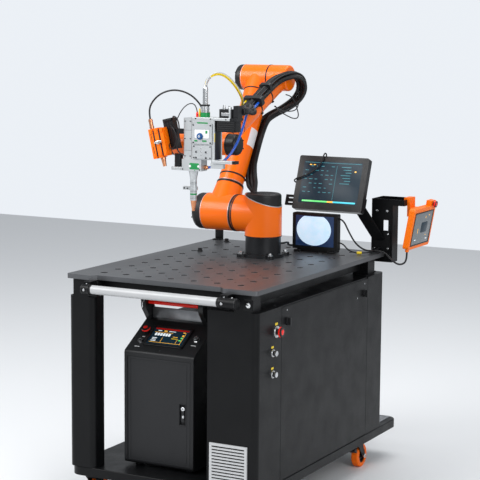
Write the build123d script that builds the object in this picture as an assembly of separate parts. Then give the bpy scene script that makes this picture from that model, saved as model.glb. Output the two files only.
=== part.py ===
from build123d import *
import math
import os

os.makedirs("parts", exist_ok=True)

# Lengths in millimetres. The pieces are placed from the table's front left top corner:
# X runs to the right along the front edge, Y to the back and Z up from the table's face.
# PLACE then moves them to the frame of the part, whose origin is on the floor.

# Table and its frame
TABLE_W = 830.0
TABLE_L = 1180.0
TABLE_T = 18.0
TABLE_HEIGHT = 925.0
TABLE_CORNER_R = 12.0
HOLE_D = 28.0
HOLE_PITCH = 100.0
HOLE_COLUMNS = 7
HOLE_ROWS = 11
NOTCH_X0 = 108.0
NOTCH_X1 = TABLE_W - 142.0
NOTCH_DEPTH = 20.0
FRAME_BAR = 50.0
FRAME_INSET = 62.0
FRAME_WALL = 4.0
LEG_SIDE = 70.0

# Wheeled body
BODY_INSET = 3.0
BODY_TOP = -86.0
SHEET = 3.0
DECK_HEIGHT = 164.0
DECK_TOP = DECK_HEIGHT - TABLE_HEIGHT
DECK_T = 36.0
DECK_FRONT = 10.0
DECK_STEP = 180.0
DECK_BACK = TABLE_L + DECK_STEP
DECK_R = 50.0
POST_W = 117.0
POST_D = 70.0
POST_R = 24.0
REAR_POST_D = 172.0
CABINET_W = 210.0
CABINET_X = TABLE_W - CABINET_W
CABINET_POST_D = 198.0
BODY_FRONT = 8.0
BODY_OVERHANG = 2.0
BODY_BACK = TABLE_L + BODY_OVERHANG
RAIL = 40.0
PANEL_GAP = 2.0
VENT_SIZE = 158.0
VENT_X0 = CABINET_X + 13.0
VENT_X1 = VENT_X0 + VENT_SIZE
VENT_Z0 = DECK_TOP + 17.0
VENT_Z1 = VENT_Z0 + VENT_SIZE
VENT_FRAME = 10.0
VENT_T = 6.0
LOUVRE_PITCH = 12.0
LOUVRE_T = 6.5

# Castors
WHEEL_D = 100.0
WHEEL_W = 32.0
WHEEL_BORE = 64.0
AXLE_D = 12.0
CASTOR_PLATE = 88.0
CASTOR_PLATE_T = 5.0
FORK_T = 4.0
FORK_GAP = 3.0
SWIVEL_D = 62.0
SWIVEL_H = 16.0
CASTOR_X = 62.0
CASTOR_FRONT_Y = 92.0
CASTOR_REAR_IN = 132.0
CASTOR_REAR_Y = TABLE_L - CASTOR_REAR_IN
CASTOR_TRAIL = 34.0
WHEEL_CLEAR = 0.3

# Push handle
HANDLE_D = 34.0
HANDLE_Y = -34.0
HANDLE_Z = -47.0
HANDLE_X0 = 136.0
HANDLE_END = 138.0
HANDLE_X1 = TABLE_W - HANDLE_END
HANDLE_CLAMP = 40.0

# Laser source in the bay
SOURCE_X0 = 190.0
SOURCE_X1 = 500.0
SOURCE_Y0 = 115.0
SOURCE_Y1 = 715.0
SOURCE_FOOT = 12.0
SOURCE_EDGE_R = 14.0
CONSOLE_Z0 = -303.0
CONSOLE_Y1 = 280.0
SOURCE_TOP = -204.0
DOOR_INSET = 14.0
DOOR_T = 14.0
DOOR_TOP = -322.0
DOOR_POCKET = 70.0
DOOR_GAP = 1.0
DOOR_EDGE_R = 3.4
HINGE_INSET_X = 6.5
HINGE_INSET_Y = 5.0
HINGE_PIN_R = 2.0
HINGE_PIN_L = 26.0
HINGE_FIT = 0.1
SOURCE_WALL = 6.0
SOURCE_BAR_D = 17.0
SOURCE_BAR_Y = 268.0
SOURCE_BAR_Z = -132.0
SOURCE_EAR_T = 20.0
SOURCE_EAR_X = 20.0
SOURCE_EAR_R = 26.0

# Robot arm: where it stands and how its six joints lie at rest
ROBOT_X = 440.0
ROBOT_Y = 800.0
SHOULDER_Z = 174.0
SHOULDER_OFFSET = 193.0
UPPER_LENGTH = 647.0
UPPER_LEAN = 31.0
ELBOW_OFFSET = 103.0
FOREARM_LENGTH = 600.5
FOREARM_DIP = 24.8
WRIST_OFFSET = 102.5
FLANGE_OFFSET = 94.0

# Robot arm: housings
BASE_FLANGE_R = 88.0
BASE_FLANGE_T = 14.0
BASE_LUG_PCD = 196.0
BASE_LUG_R = 16.0
BASE_R = 74.0
BASE_TOP = 84.0
COLUMN_R = 77.0
COLUMN_CAP_TOP = 264.0
COLUMN_CAP_Z = 236.0
COLUMN_CAP_SLOPE = 18.0
JOINT_GAP = 0.3
HUB_R = 77.0
HUB_IN = 117.0
HUB_OUT = 72.0
SHOULDER_CAP_T = 44.0
NECK_END = 130.0
UPPER_R = 53.5
ELBOW_R = 56.0
ELBOW_IN = 57.0
ELBOW_OUT = 74.0
ELBOW_CAP_T = 28.0
ELBOW_NECK = 72.0
FOREARM_R = 39.5
FOREARM_HUB_IN = 49.0
FOREARM_HUB_OUT = 44.0
FOREARM_NECK = 74.0
WRIST_R = 44.0
WRIST_HALF = 44.0
WRIST_NECK = 56.0
END_CAP_T = 46.0
WRIST_CAP_T = 36.0
FLANGE_R = 34.0

# Welding tool
HEAD_X0 = 352.0
HEAD_X1 = 454.0
HEAD_Y0 = 345.0
HEAD_Y1 = 405.0
HEAD_Z0 = 432.0
HEAD_Z1 = 587.0
SIDE_BOX_X0 = 312.0
SIDE_BOX_Y0 = 357.0
LOWER_X0 = 306.0
LOWER_X1 = 394.0
LOWER_Z0 = 386.0
NOZZLE_X = 347.0
NOZZLE_Y = 378.0
CONE_Z0 = 350.0
NOZZLE_R = 13.0
TUBE_Z0 = 268.0
TIP_Z0 = 226.0
TIP_R = 5.5
TIP_BORE = 3.0
BRACKET_T = 12.0
BACK_PLATE_T = 10.0
RAIL_X1 = 552.0
TOP_PLATE_T = 10.0
FIBRE_X = 400.0
FIBRE_Y = 376.0
FEED_TILT = 13.0

# Screens, pendant and its holder
MONITOR_W = 323.0
MONITOR_X1 = TABLE_W - 50.0
MONITOR_X0 = MONITOR_X1 - MONITOR_W
MONITOR_H = 236.0
MONITOR_T = 32.0
MONITOR_BACK = 150.0
MONITOR_Y = TABLE_L - MONITOR_BACK
MONITOR_Z = 180.0
MONITOR_LEAN = 20.0
MONITOR_R = 8.0
CAMERA_W = 208.0
CAMERA_X0 = MONITOR_X0 + 17.0
CAMERA_X1 = CAMERA_X0 + CAMERA_W
CAMERA_BACK = 172.0
CAMERA_Y = TABLE_L - CAMERA_BACK
CAMERA_Z0 = 12.0
CAMERA_Z1 = 166.0
CAMERA_T = 34.0
SCREEN_T = 2.0
HOLDER_W = 97.0
HOLDER_X0 = TABLE_W - 65.0
HOLDER_X1 = HOLDER_X0 + HOLDER_W
HOLDER_DEPTH = 60.0
HOLDER_Z0 = -44.0
HOLDER_Z1 = 200.0
HOLDER_SHEET = 3.0
TRAY_REACH = 52.0
TRAY_X1 = HOLDER_X1 + TRAY_REACH
TRAY_H = 26.0
SLOT_W = 22.0
SLOT_H = 52.0
PENDANT_W = 236.0
PENDANT_H = 176.0
PENDANT_T = 26.0
PENDANT_X = TRAY_X1 + 6.0
PENDANT_FORWARD = 30.0
PENDANT_Y0 = TABLE_L - PENDANT_FORWARD
PENDANT_Z0 = 22.0
PENDANT_LEAN = 10.0
PENDANT_R = 12.0

# Hoses
SLEEVE_R = 12.0
BLUE_R = 5.0
FIBRE_R = 4.0
FEED_CABLE_R = 3.5
PENDANT_CABLE_R = 4.0
HOSE_GAP = 0.3
FORE_HOSE_OUT = 28.0
FORE_HOSE_RISE = 54.0
ARM_HOSE_OUT = 50.0
ARM_HOSE_BEHIND = 44.0
CLAMP_FRONT = 330.0
CLAMP_L = 24.0
SADDLE_AT = 196.0
SADDLE_L = 20.0
TOOL_GLAND_R = 15.0
TOOL_GLAND_L = 32.0
TURRET_GLAND_R = 16.0
TURRET_GLAND_L = 24.0

# Frame of the part: centre of the outline on the floor
CENTRE_X = 497.0
CENTRE_Y = 666.0
PLACE = Pos(-CENTRE_X, -CENTRE_Y, TABLE_HEIGHT)

DECK_BOTTOM = DECK_TOP - DECK_T
FLOOR = -TABLE_HEIGHT
BODY_RIGHT = TABLE_W - BODY_INSET
BODY_LEFT = BODY_INSET


def put(name, *pieces):
    """Write one named piece, moved to the frame of the part."""
    solids = []
    for piece in pieces:
        solids.extend(piece.solids())
    shape = solids[0] if len(solids) == 1 else Compound(children=solids)
    moved = PLACE * shape
    moved.label = name
    export_step(moved, f"parts/{name}.step")
    volume = sum(solid.volume for solid in solids)
    print(f"{name}: {len(solids)} solids, {volume / 1000:.1f} cm3")


def block(x0, x1, y0, y1, z0, z1):
    """A box between two opposite corners."""
    size = (x1 - x0, y1 - y0, z1 - z0)
    centre = ((x0 + x1) / 2, (y0 + y1) / 2, (z0 + z1) / 2)
    return Pos(*centre) * Box(*size)


def rod(start, along, radius, length):
    """A cylinder that starts at a point and runs along a direction."""
    plane = Plane(origin=start, z_dir=along)
    return plane * Pos(0, 0, length / 2) * Cylinder(radius, length)


def cone(start, along, r0, r1, length):
    """A round taper that starts at a point and runs along a direction."""
    plane = Plane(origin=start, z_dir=along)
    return plane * Pos(0, 0, length / 2) * Cone(r0, r1, length)


def pillar(x0, x1, y0, y1, z0, z1, radius, wall, corners):
    """A hollow upright of folded sheet with chosen rounded corners."""
    outline = Pos((x0 + x1) / 2, (y0 + y1) / 2) * Rectangle(x1 - x0, y1 - y0)
    chosen = []
    for corner in outline.vertices():
        east = corner.X > (x0 + x1) / 2
        back = corner.Y > (y0 + y1) / 2
        if (east, back) in corners:
            chosen.append(corner)
    outline = fillet(chosen, radius)
    inside = offset(outline, amount=-wall)
    return Pos(0, 0, z0) * extrude(outline - inside, z1 - z0)


def hose_spans(points, radius, cuts=()):
    """Tubes along straight runs joined by tangent arcs, cut square at chosen shares of a run."""
    route = [Vector(*point) for point in points]
    radii = []
    for before, here, after in zip(route, route[1:], route[2:]):
        first = here - before
        second = after - here
        turn = math.radians(first.get_angle(second))
        reach = 0.45 * min(first.length, second.length)
        radii.append(reach / math.tan(turn / 2))
    tubes = []
    start = route[0]
    corner = 1
    for cut in (*cuts, (len(route) - 2, 1.0)):
        run, share = cut
        end = route[run] + (route[run + 1] - route[run]) * share
        corners = route[corner:run + 1]
        if corners:
            path = FilletPolyline(start, *corners, end, radius=radii[corner - 1:run])
        else:
            path = Line(start, end)
        section = Plane(origin=path @ 0, z_dir=path % 0) * Circle(radius)
        tube = sweep(section, path=path)
        ratio = tube.volume / (math.pi * radius**2 * path.length)
        print(f"  tube r {radius}: length {path.length:.0f}, volume ratio {ratio:.4f}")
        tubes.append(tube)
        start = end
        corner = run + 1
    text = ", ".join(f"{value:.0f}" for value in radii)
    print(f"  tube r {radius}: arcs {text}")
    return tubes


# Joint centres, from the link lengths and the pose at rest
LEAN = math.radians(UPPER_LEAN)
DIP = math.radians(FOREARM_DIP)
J2 = Vector(ROBOT_X - SHOULDER_OFFSET, ROBOT_Y, SHOULDER_Z)
UP_ARM = Vector(0, math.sin(LEAN), math.cos(LEAN))
J3 = J2 + UP_ARM * UPPER_LENGTH
FORE = Vector(0, -math.cos(DIP), -math.sin(DIP))
J3F = J3 + Vector(ELBOW_OFFSET, 0, 0)
J4 = J3F + FORE * FOREARM_LENGTH
J5 = J4 - Vector(WRIST_OFFSET, 0, 0)
J6 = J5 - Vector(0, WRIST_OFFSET, 0)
FLANGE_X = J6.X + FLANGE_OFFSET

# Table top: a plate with a square grid of clamping holes and a recess behind the handle
grid_x0 = (TABLE_W - (HOLE_COLUMNS - 1) * HOLE_PITCH) / 2
grid_y0 = (TABLE_L - (HOLE_ROWS - 1) * HOLE_PITCH) / 2
plate = Pos(TABLE_W / 2, TABLE_L / 2) * RectangleRounded(TABLE_W, TABLE_L, TABLE_CORNER_R)
notch = make_face(
    Polyline(
        (NOTCH_X0, 0),
        (NOTCH_X0 + NOTCH_DEPTH, NOTCH_DEPTH),
        (NOTCH_X1 - NOTCH_DEPTH, NOTCH_DEPTH),
        (NOTCH_X1, 0),
        close=True,
    )
)
plate -= notch
holes = Locations(
    *[
        (grid_x0 + HOLE_PITCH * column, grid_y0 + HOLE_PITCH * row)
        for column in range(HOLE_COLUMNS)
        for row in range(HOLE_ROWS)
    ]
)
hole_disc = Circle(HOLE_D / 2)
plate -= [place * hole_disc for place in holes.locations]
put("table_top", Pos(0, 0, -TABLE_T) * extrude(plate, TABLE_T))

# Table frame: a welded ring of square tube on four blocks that stand on the posts
frame_top = -TABLE_T
frame_x0 = FRAME_INSET
frame_x1 = TABLE_W - FRAME_INSET
frame_y0 = FRAME_INSET
frame_y1 = TABLE_L - FRAME_INSET
ring = Pos(TABLE_W / 2, TABLE_L / 2) * (
    Rectangle(frame_x1 - frame_x0, frame_y1 - frame_y0)
    - Rectangle(frame_x1 - frame_x0 - 2 * FRAME_BAR, frame_y1 - frame_y0 - 2 * FRAME_BAR)
)
hollow = Pos(TABLE_W / 2, TABLE_L / 2) * (
    Rectangle(frame_x1 - frame_x0 - 2 * FRAME_WALL, frame_y1 - frame_y0 - 2 * FRAME_WALL)
    - Rectangle(
        frame_x1 - frame_x0 - 2 * FRAME_BAR + 2 * FRAME_WALL,
        frame_y1 - frame_y0 - 2 * FRAME_BAR + 2 * FRAME_WALL,
    )
)
frame_tube = Pos(0, 0, frame_top - FRAME_BAR) * extrude(ring, FRAME_BAR)
frame_tube -= Pos(0, 0, frame_top - FRAME_BAR + FRAME_WALL) * extrude(
    hollow, FRAME_BAR - 2 * FRAME_WALL
)
leg_y_front = BODY_FRONT + POST_D / 2
leg_y_rear = BODY_BACK - REAR_POST_D / 2
leg_x_left = BODY_LEFT + POST_W / 2
leg_x_right = BODY_RIGHT - POST_W / 2
legs = []
for leg_x in (leg_x_left, leg_x_right):
    for leg_y in (leg_y_front, leg_y_rear):
        legs.append(
            block(
                leg_x - LEG_SIDE / 2,
                leg_x + LEG_SIDE / 2,
                leg_y - LEG_SIDE / 2,
                leg_y + LEG_SIDE / 2,
                BODY_TOP,
                frame_top,
            )
        )
frame_and_legs = frame_tube
for leg in legs:
    frame_and_legs += leg
put("table_frame", frame_and_legs)

# Deck: a folded pan with rounded corners that carries posts, cabinet and source
deck_length = DECK_BACK - DECK_FRONT
deck_outline = Pos(TABLE_W / 2, (DECK_FRONT + DECK_BACK) / 2) * RectangleRounded(
    TABLE_W, deck_length, DECK_R
)
deck = Pos(0, 0, DECK_BOTTOM) * extrude(deck_outline, DECK_T)
deck_inside = offset(deck_outline, amount=-SHEET)
deck -= Pos(0, 0, DECK_BOTTOM) * extrude(deck_inside, DECK_T - SHEET)
for castor_y in (CASTOR_FRONT_Y, CASTOR_REAR_Y):
    deck += block(
        SHEET,
        TABLE_W - SHEET,
        castor_y - CASTOR_PLATE / 2 - 6,
        castor_y + CASTOR_PLATE / 2 + 6,
        DECK_BOTTOM,
        DECK_BOTTOM + 6,
    )
deck = fillet(deck.faces().sort_by(Axis.Z)[-1].outer_wire().edges(), 4)
put("base_platform", deck)

tread_outline = Pos(TABLE_W / 2, (BODY_BACK + DECK_BACK) / 2) * RectangleRounded(
    TABLE_W - 60, DECK_BACK - BODY_BACK - 26, 8
)
tread = Pos(0, 0, DECK_TOP) * extrude(tread_outline, SHEET)
groove = offset(tread_outline, amount=-14) - offset(tread_outline, amount=-17)
tread -= Pos(0, 0, DECK_TOP + SHEET - 1) * extrude(groove, 1)
put("tread_plate", tread)

# Left posts: one slim at the front, one deep at the back, each closed by a top plate
front_left = pillar(
    BODY_LEFT, BODY_LEFT + POST_W, BODY_FRONT, BODY_FRONT + POST_D,
    DECK_TOP, BODY_TOP - SHEET, POST_R, SHEET, {(False, False), (True, False)},
)
rear_left = pillar(
    BODY_LEFT, BODY_LEFT + POST_W, BODY_BACK - REAR_POST_D, BODY_BACK,
    DECK_TOP, BODY_TOP - SHEET, POST_R, SHEET, {(False, True)},
)
lids = []
for low, high, corners in (
    (BODY_FRONT, BODY_FRONT + POST_D, {(False, False), (True, False)}),
    (BODY_BACK - REAR_POST_D, BODY_BACK, {(False, True)}),
):
    lid = Pos(BODY_LEFT + POST_W / 2, (low + high) / 2) * Rectangle(POST_W, high - low)
    chosen = [
        corner
        for corner in lid.vertices()
        if (corner.X > BODY_LEFT + POST_W / 2, corner.Y > (low + high) / 2) in corners
    ]
    lid = fillet(chosen, POST_R)
    lids.append(Pos(0, 0, BODY_TOP - SHEET) * extrude(lid, SHEET))
put("left_posts", front_left + lids[0], rear_left + lids[1])

# Right cabinet: front post with the vent window, rear post, and a frame between them
front_post_y1 = BODY_FRONT + CABINET_POST_D
rear_post_y0 = BODY_BACK - REAR_POST_D
front_post = pillar(
    CABINET_X, BODY_RIGHT, BODY_FRONT, front_post_y1,
    DECK_TOP, BODY_TOP, POST_R, SHEET, {(True, False)},
)
front_lid = Pos((CABINET_X + BODY_RIGHT) / 2, (BODY_FRONT + front_post_y1) / 2) * Rectangle(
    BODY_RIGHT - CABINET_X - 2 * SHEET, CABINET_POST_D - 2 * SHEET
)
front_lid = fillet([v for v in front_lid.vertices() if v.X > CABINET_X + 50 and v.Y < BODY_FRONT + 50], POST_R - SHEET)
front_post += Pos(0, 0, BODY_TOP - SHEET) * extrude(front_lid, SHEET)
front_post -= block(
    VENT_X0 + VENT_FRAME, VENT_X1 - VENT_FRAME,
    BODY_FRONT - 1, BODY_FRONT + SHEET + 1,
    VENT_Z0 + VENT_FRAME, VENT_Z1 - VENT_FRAME,
)

rear_post = pillar(
    CABINET_X, BODY_RIGHT, rear_post_y0, BODY_BACK,
    DECK_TOP, BODY_TOP, POST_R, SHEET, {(True, True)},
)
rear_lid = Pos((CABINET_X + BODY_RIGHT) / 2, (BODY_BACK + rear_post_y0) / 2) * Rectangle(
    BODY_RIGHT - CABINET_X - 2 * SHEET, REAR_POST_D - 2 * SHEET
)
rear_lid = fillet([v for v in rear_lid.vertices() if v.X > CABINET_X + 50 and v.Y > BODY_BACK - 50], POST_R - SHEET)
rear_post += Pos(0, 0, BODY_TOP - SHEET) * extrude(rear_lid, SHEET)
put("cabinet_posts", front_post, rear_post)

panel_plane = BODY_RIGHT - SHEET
rails = block(
    panel_plane - RAIL, panel_plane, front_post_y1, rear_post_y0, BODY_TOP - RAIL, BODY_TOP
)
rails += block(
    CABINET_X, CABINET_X + SHEET, front_post_y1, rear_post_y0, DECK_TOP, BODY_TOP
)
rails += block(
    CABINET_X, panel_plane, front_post_y1, rear_post_y0, BODY_TOP - SHEET, BODY_TOP
)
rails += block(
    panel_plane - RAIL, panel_plane, front_post_y1, rear_post_y0, DECK_TOP, DECK_TOP + RAIL
)
put("cabinet_frame", rails)

side_panel = block(
    panel_plane, BODY_RIGHT,
    front_post_y1 + PANEL_GAP, rear_post_y0 - PANEL_GAP,
    DECK_TOP + PANEL_GAP, BODY_TOP - PANEL_GAP - 4,
)
side_panel = fillet(side_panel.edges().filter_by(Axis.X), 4)
put("side_panel", side_panel)

latches = []
for latch_y in (front_post_y1 + 48, rear_post_y0 - 36):
    body = rod((BODY_RIGHT, latch_y, -150), (1, 0, 0), 15, 6)
    grip = block(BODY_RIGHT + 6, BODY_RIGHT + 16, latch_y - 4, latch_y + 4, -164, -136)
    latches.append(body + grip)
put("panel_latches", *latches)

# White louvred vent in front of the window in the cabinet's front post
vent_y = BODY_FRONT - VENT_T
vent = block(VENT_X0, VENT_X1, vent_y, BODY_FRONT, VENT_Z0, VENT_Z1)
vent -= block(
    VENT_X0 + VENT_FRAME, VENT_X1 - VENT_FRAME,
    vent_y - 1, BODY_FRONT + 1,
    VENT_Z0 + VENT_FRAME, VENT_Z1 - VENT_FRAME,
)
louvre_count = int((VENT_Z1 - VENT_Z0 - 2 * VENT_FRAME) // LOUVRE_PITCH)
for index in range(louvre_count):
    top = VENT_Z1 - VENT_FRAME - LOUVRE_PITCH * (index + 0.5)
    vent += block(
        VENT_X0 + VENT_FRAME, VENT_X1 - VENT_FRAME,
        vent_y, BODY_FRONT, top - LOUVRE_T, top,
    )
put("vent_grille", vent)

# Castors: top plate, swivel head, fork, tyre, hub and axle
forks = []
tyres = []
hubs = []
axle_z = FLOOR + WHEEL_D / 2
for castor_x in (CASTOR_X, TABLE_W - CASTOR_X):
    for castor_y in (CASTOR_FRONT_Y, CASTOR_REAR_Y):
        plate_z = DECK_BOTTOM - CASTOR_PLATE_T
        top = block(
            castor_x - CASTOR_PLATE / 2, castor_x + CASTOR_PLATE / 2,
            castor_y - CASTOR_PLATE / 2, castor_y + CASTOR_PLATE / 2,
            plate_z, DECK_BOTTOM,
        )
        head = rod((castor_x, castor_y, plate_z - SWIVEL_H), (0, 0, 1), SWIVEL_D / 2, SWIVEL_H)
        inner = WHEEL_W / 2 + FORK_GAP
        axle_y = castor_y + CASTOR_TRAIL
        crown_z = plate_z - SWIVEL_H
        crown = block(
            castor_x - inner - FORK_T, castor_x + inner + FORK_T,
            castor_y - 24, castor_y + 24, crown_z - FORK_T, crown_z,
        )
        fork = top + head + crown
        for side in (-1, 1):
            face_x = castor_x + side * inner
            outline = make_face(
                Polyline(
                    (castor_y - 24, crown_z),
                    (castor_y + 24, crown_z),
                    (axle_y + 12, axle_z + 4),
                    (axle_y + 9, axle_z - 9),
                    (axle_y - 9, axle_z - 9),
                    (axle_y - 14, axle_z + 2),
                    close=True,
                )
            )
            cheek = Plane.YZ * outline
            start = face_x if side > 0 else face_x - FORK_T
            fork += Pos(start, 0, 0) * extrude(cheek, FORK_T, dir=(1, 0, 0))
        axle_hole = rod((castor_x - 60, axle_y, axle_z), (1, 0, 0), AXLE_D / 2, 120)
        fork -= axle_hole
        forks.append(fork)
        wheel = rod((castor_x - WHEEL_W / 2, axle_y, axle_z), (1, 0, 0), WHEEL_D / 2, WHEEL_W)
        wheel = fillet(wheel.edges().filter_by(GeomType.CIRCLE), 6)
        wheel -= rod((castor_x - 50, axle_y, axle_z), (1, 0, 0), WHEEL_BORE / 2, 100)
        tyres.append(wheel)
        core = rod(
            (castor_x - WHEEL_W / 2 + 4, axle_y, axle_z), (1, 0, 0), WHEEL_BORE / 2, WHEEL_W - 8
        )
        for side in (-1, 1):
            face_x = castor_x + side * (WHEEL_W / 2 - 4)
            core -= (
                rod((face_x - side * 5, axle_y, axle_z), (side, 0, 0), WHEEL_BORE / 2 - 6, 6)
                - rod((face_x - side * 5, axle_y, axle_z), (side, 0, 0), 13, 6)
            )
        core += rod((castor_x - inner, axle_y, axle_z), (1, 0, 0), 11, 2 * inner)
        shank = 2 * (inner + FORK_T)
        core += rod((castor_x - inner - FORK_T, axle_y, axle_z), (1, 0, 0), AXLE_D / 2, shank)
        for side in (-1, 1):
            end_x = castor_x + side * (inner + FORK_T)
            core += rod((end_x, axle_y, axle_z), (side, 0, 0), 9, 6)
        hubs.append(core)
put("castor_forks", *forks)
put("castor_tyres", *tyres)
put("castor_hubs", *hubs)

# Push handle: a white tube between two black clamps under the table's front edge
handle = rod((HANDLE_X0, HANDLE_Y, HANDLE_Z), (1, 0, 0), HANDLE_D / 2, HANDLE_X1 - HANDLE_X0)
put("push_handle", handle)
brackets = []
clamp_r = HANDLE_D / 2 + 3
for low, high, arm_low in (
    (HANDLE_X0 - HANDLE_CLAMP, HANDLE_X0, HANDLE_X0 - HANDLE_CLAMP + 4),
    (HANDLE_X1, HANDLE_X1 + 78, HANDLE_X1 + 4),
):
    nose = rod((low, HANDLE_Y, HANDLE_Z), (1, 0, 0), clamp_r, high - low)
    nose = fillet(nose.edges().filter_by(GeomType.CIRCLE), 5)
    arm = block(
        arm_low, arm_low + HANDLE_CLAMP - 8, HANDLE_Y, frame_y0, HANDLE_Z - 14, -TABLE_T
    )
    brackets.append(nose + arm)
put("handle_brackets", *brackets)

# Cabinet controls: a mushroom stop on a collar and two selectors on oval plates
panel_x = BODY_RIGHT
stop_y = 163.0
controls = [
    rod((panel_x, stop_y, -175), (1, 0, 0), 22, 5)
    + rod((panel_x + 5, stop_y, -175), (1, 0, 0), 12, 12)
    + rod((panel_x + 17, stop_y, -175), (1, 0, 0), 19, 10)
]
for selector_z in (-251, -331):
    knob = rod((panel_x, 133, selector_z), (1, 0, 0), 14, 6)
    knob += rod((panel_x + 6, 133, selector_z), (1, 0, 0), 10, 12)
    controls.append(knob)

# Laser source: cabinet with a sloping console, a door pocket, feet and edge radii
source_profile = make_face(
    Polyline(
        (SOURCE_Y0, DECK_TOP + SOURCE_FOOT),
        (SOURCE_Y1, DECK_TOP + SOURCE_FOOT),
        (SOURCE_Y1, SOURCE_TOP),
        (CONSOLE_Y1, SOURCE_TOP),
        (SOURCE_Y0, CONSOLE_Z0),
        close=True,
    )
)
source = Pos(SOURCE_X0, 0, 0) * extrude(
    Plane.YZ * source_profile, SOURCE_X1 - SOURCE_X0, dir=(1, 0, 0)
)
long_edges = source.edges().filter_by(Axis.X)
source = fillet(long_edges, SOURCE_EDGE_R)
inner_profile = offset(source_profile, amount=-SOURCE_WALL)
source -= Pos(SOURCE_X0 + SOURCE_WALL, 0, 0) * extrude(
    Plane.YZ * inner_profile, SOURCE_X1 - SOURCE_X0 - 2 * SOURCE_WALL, dir=(1, 0, 0)
) & block(
    SOURCE_X0, SOURCE_X1,
    SOURCE_Y0 + DOOR_POCKET + SOURCE_WALL, SOURCE_Y1,
    DECK_TOP, 0,
)
door_x0 = SOURCE_X0 + DOOR_INSET
door_x1 = SOURCE_X1 - DOOR_INSET
door_z0 = DECK_TOP + SOURCE_FOOT + DOOR_INSET
source -= block(door_x0, door_x1, SOURCE_Y0 - 1, SOURCE_Y0 + DOOR_T, door_z0, DOOR_TOP)
source -= block(
    door_x0 + 16, door_x1 - 16,
    SOURCE_Y0, SOURCE_Y0 + DOOR_POCKET,
    door_z0 + 16, DOOR_TOP - 16,
)
for foot_x in (SOURCE_X0 + 40, SOURCE_X1 - 40):
    for foot_y in (SOURCE_Y0 + 50, SOURCE_Y1 - 50):
        source += rod((foot_x, foot_y, DECK_TOP), (0, 0, 1), 18, SOURCE_FOOT + 1)
hinge_x = door_x0 + HINGE_INSET_X
hinge_y = SOURCE_Y0 + HINGE_INSET_Y
pins = []
for pin_low in (door_z0, DOOR_TOP - HINGE_PIN_L):
    pins.append(rod((hinge_x, hinge_y, pin_low), (0, 0, 1), HINGE_PIN_R, HINGE_PIN_L))
for pin in pins:
    source += pin
put("source_body", source)

door = block(
    door_x0 + DOOR_GAP, door_x1 - DOOR_GAP,
    SOURCE_Y0, SOURCE_Y0 + DOOR_T - DOOR_GAP,
    door_z0 + DOOR_GAP, DOOR_TOP - DOOR_GAP,
)
door = fillet(
    [e for e in door.edges().filter_by(Axis.Z) if e.center().X < door_x0 + 5], DOOR_EDGE_R
)
pull_x = door_x1 - 34
pull_z = (door_z0 + DOOR_TOP) / 2
door -= block(pull_x - 12, pull_x + 12, SOURCE_Y0 - 1, SOURCE_Y0 + 8, pull_z - 40, pull_z + 40)
door += rod((pull_x, SOURCE_Y0 + 8, pull_z - 22), (0, -1, 0), 8, 6)
door += block(pull_x - 5, pull_x + 5, SOURCE_Y0 + 2, SOURCE_Y0 + 8, pull_z - 4, pull_z + 32)
hinge_bore = HINGE_PIN_R + HINGE_FIT
door -= rod((hinge_x, hinge_y, door_z0), (0, 0, 1), hinge_bore, HINGE_PIN_L + 1.5)
door -= rod((hinge_x, hinge_y, DOOR_TOP), (0, 0, -1), hinge_bore, HINGE_PIN_L + 1.5)
put("source_door", door)

# Source handle: a bar between two ears that are fixed to the console's sides
ear_left_x = SOURCE_X0 + SOURCE_EAR_X
ear_right_x = SOURCE_X1 - SOURCE_EAR_X - 32
grip = rod(
    (ear_left_x, SOURCE_BAR_Y, SOURCE_BAR_Z), (1, 0, 0),
    SOURCE_BAR_D / 2, ear_right_x - ear_left_x,
)
for ear_x in (ear_left_x - SOURCE_EAR_T, ear_right_x):
    outline = make_face(
        Polyline(
            (SOURCE_BAR_Y - SOURCE_EAR_R, SOURCE_BAR_Z),
            (SOURCE_BAR_Y + SOURCE_EAR_R, SOURCE_BAR_Z),
            (CONSOLE_Y1 + 58, SOURCE_TOP),
            (CONSOLE_Y1 + 3, SOURCE_TOP),
            close=True,
        )
    )
    ear = Pos(ear_x, 0, 0) * extrude(Plane.YZ * outline, SOURCE_EAR_T, dir=(1, 0, 0))
    ear += rod((ear_x, SOURCE_BAR_Y, SOURCE_BAR_Z), (1, 0, 0), SOURCE_EAR_R, SOURCE_EAR_T)
    grip += ear
put("source_handle", grip)

# Console controls lie square to the slope: a mushroom stop, a key switch and a selector
slope = math.atan2(SOURCE_TOP - CONSOLE_Z0, CONSOLE_Y1 - SOURCE_Y0)
console_normal = (0, -math.sin(slope), math.cos(slope))


def on_console(x, along, lift=0.0):
    """A point on the console's slope, a distance up it from its front edge."""
    return (
        x,
        SOURCE_Y0 + along * math.cos(slope) - lift * math.sin(slope),
        CONSOLE_Z0 + along * math.sin(slope) + lift * math.cos(slope),
    )


source_stop = rod(on_console(232, 118), console_normal, 15, 3)
source_stop += rod(on_console(232, 118, 3), console_normal, 10, 12)
source_stop += rod(on_console(232, 118, 15), console_normal, 17, 9)
key_switch = rod(on_console(232, 62), console_normal, 12, 9)
selector = rod(on_console(466, 100), console_normal, 11, 12)
controls.extend([source_stop, key_switch, selector])

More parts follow.
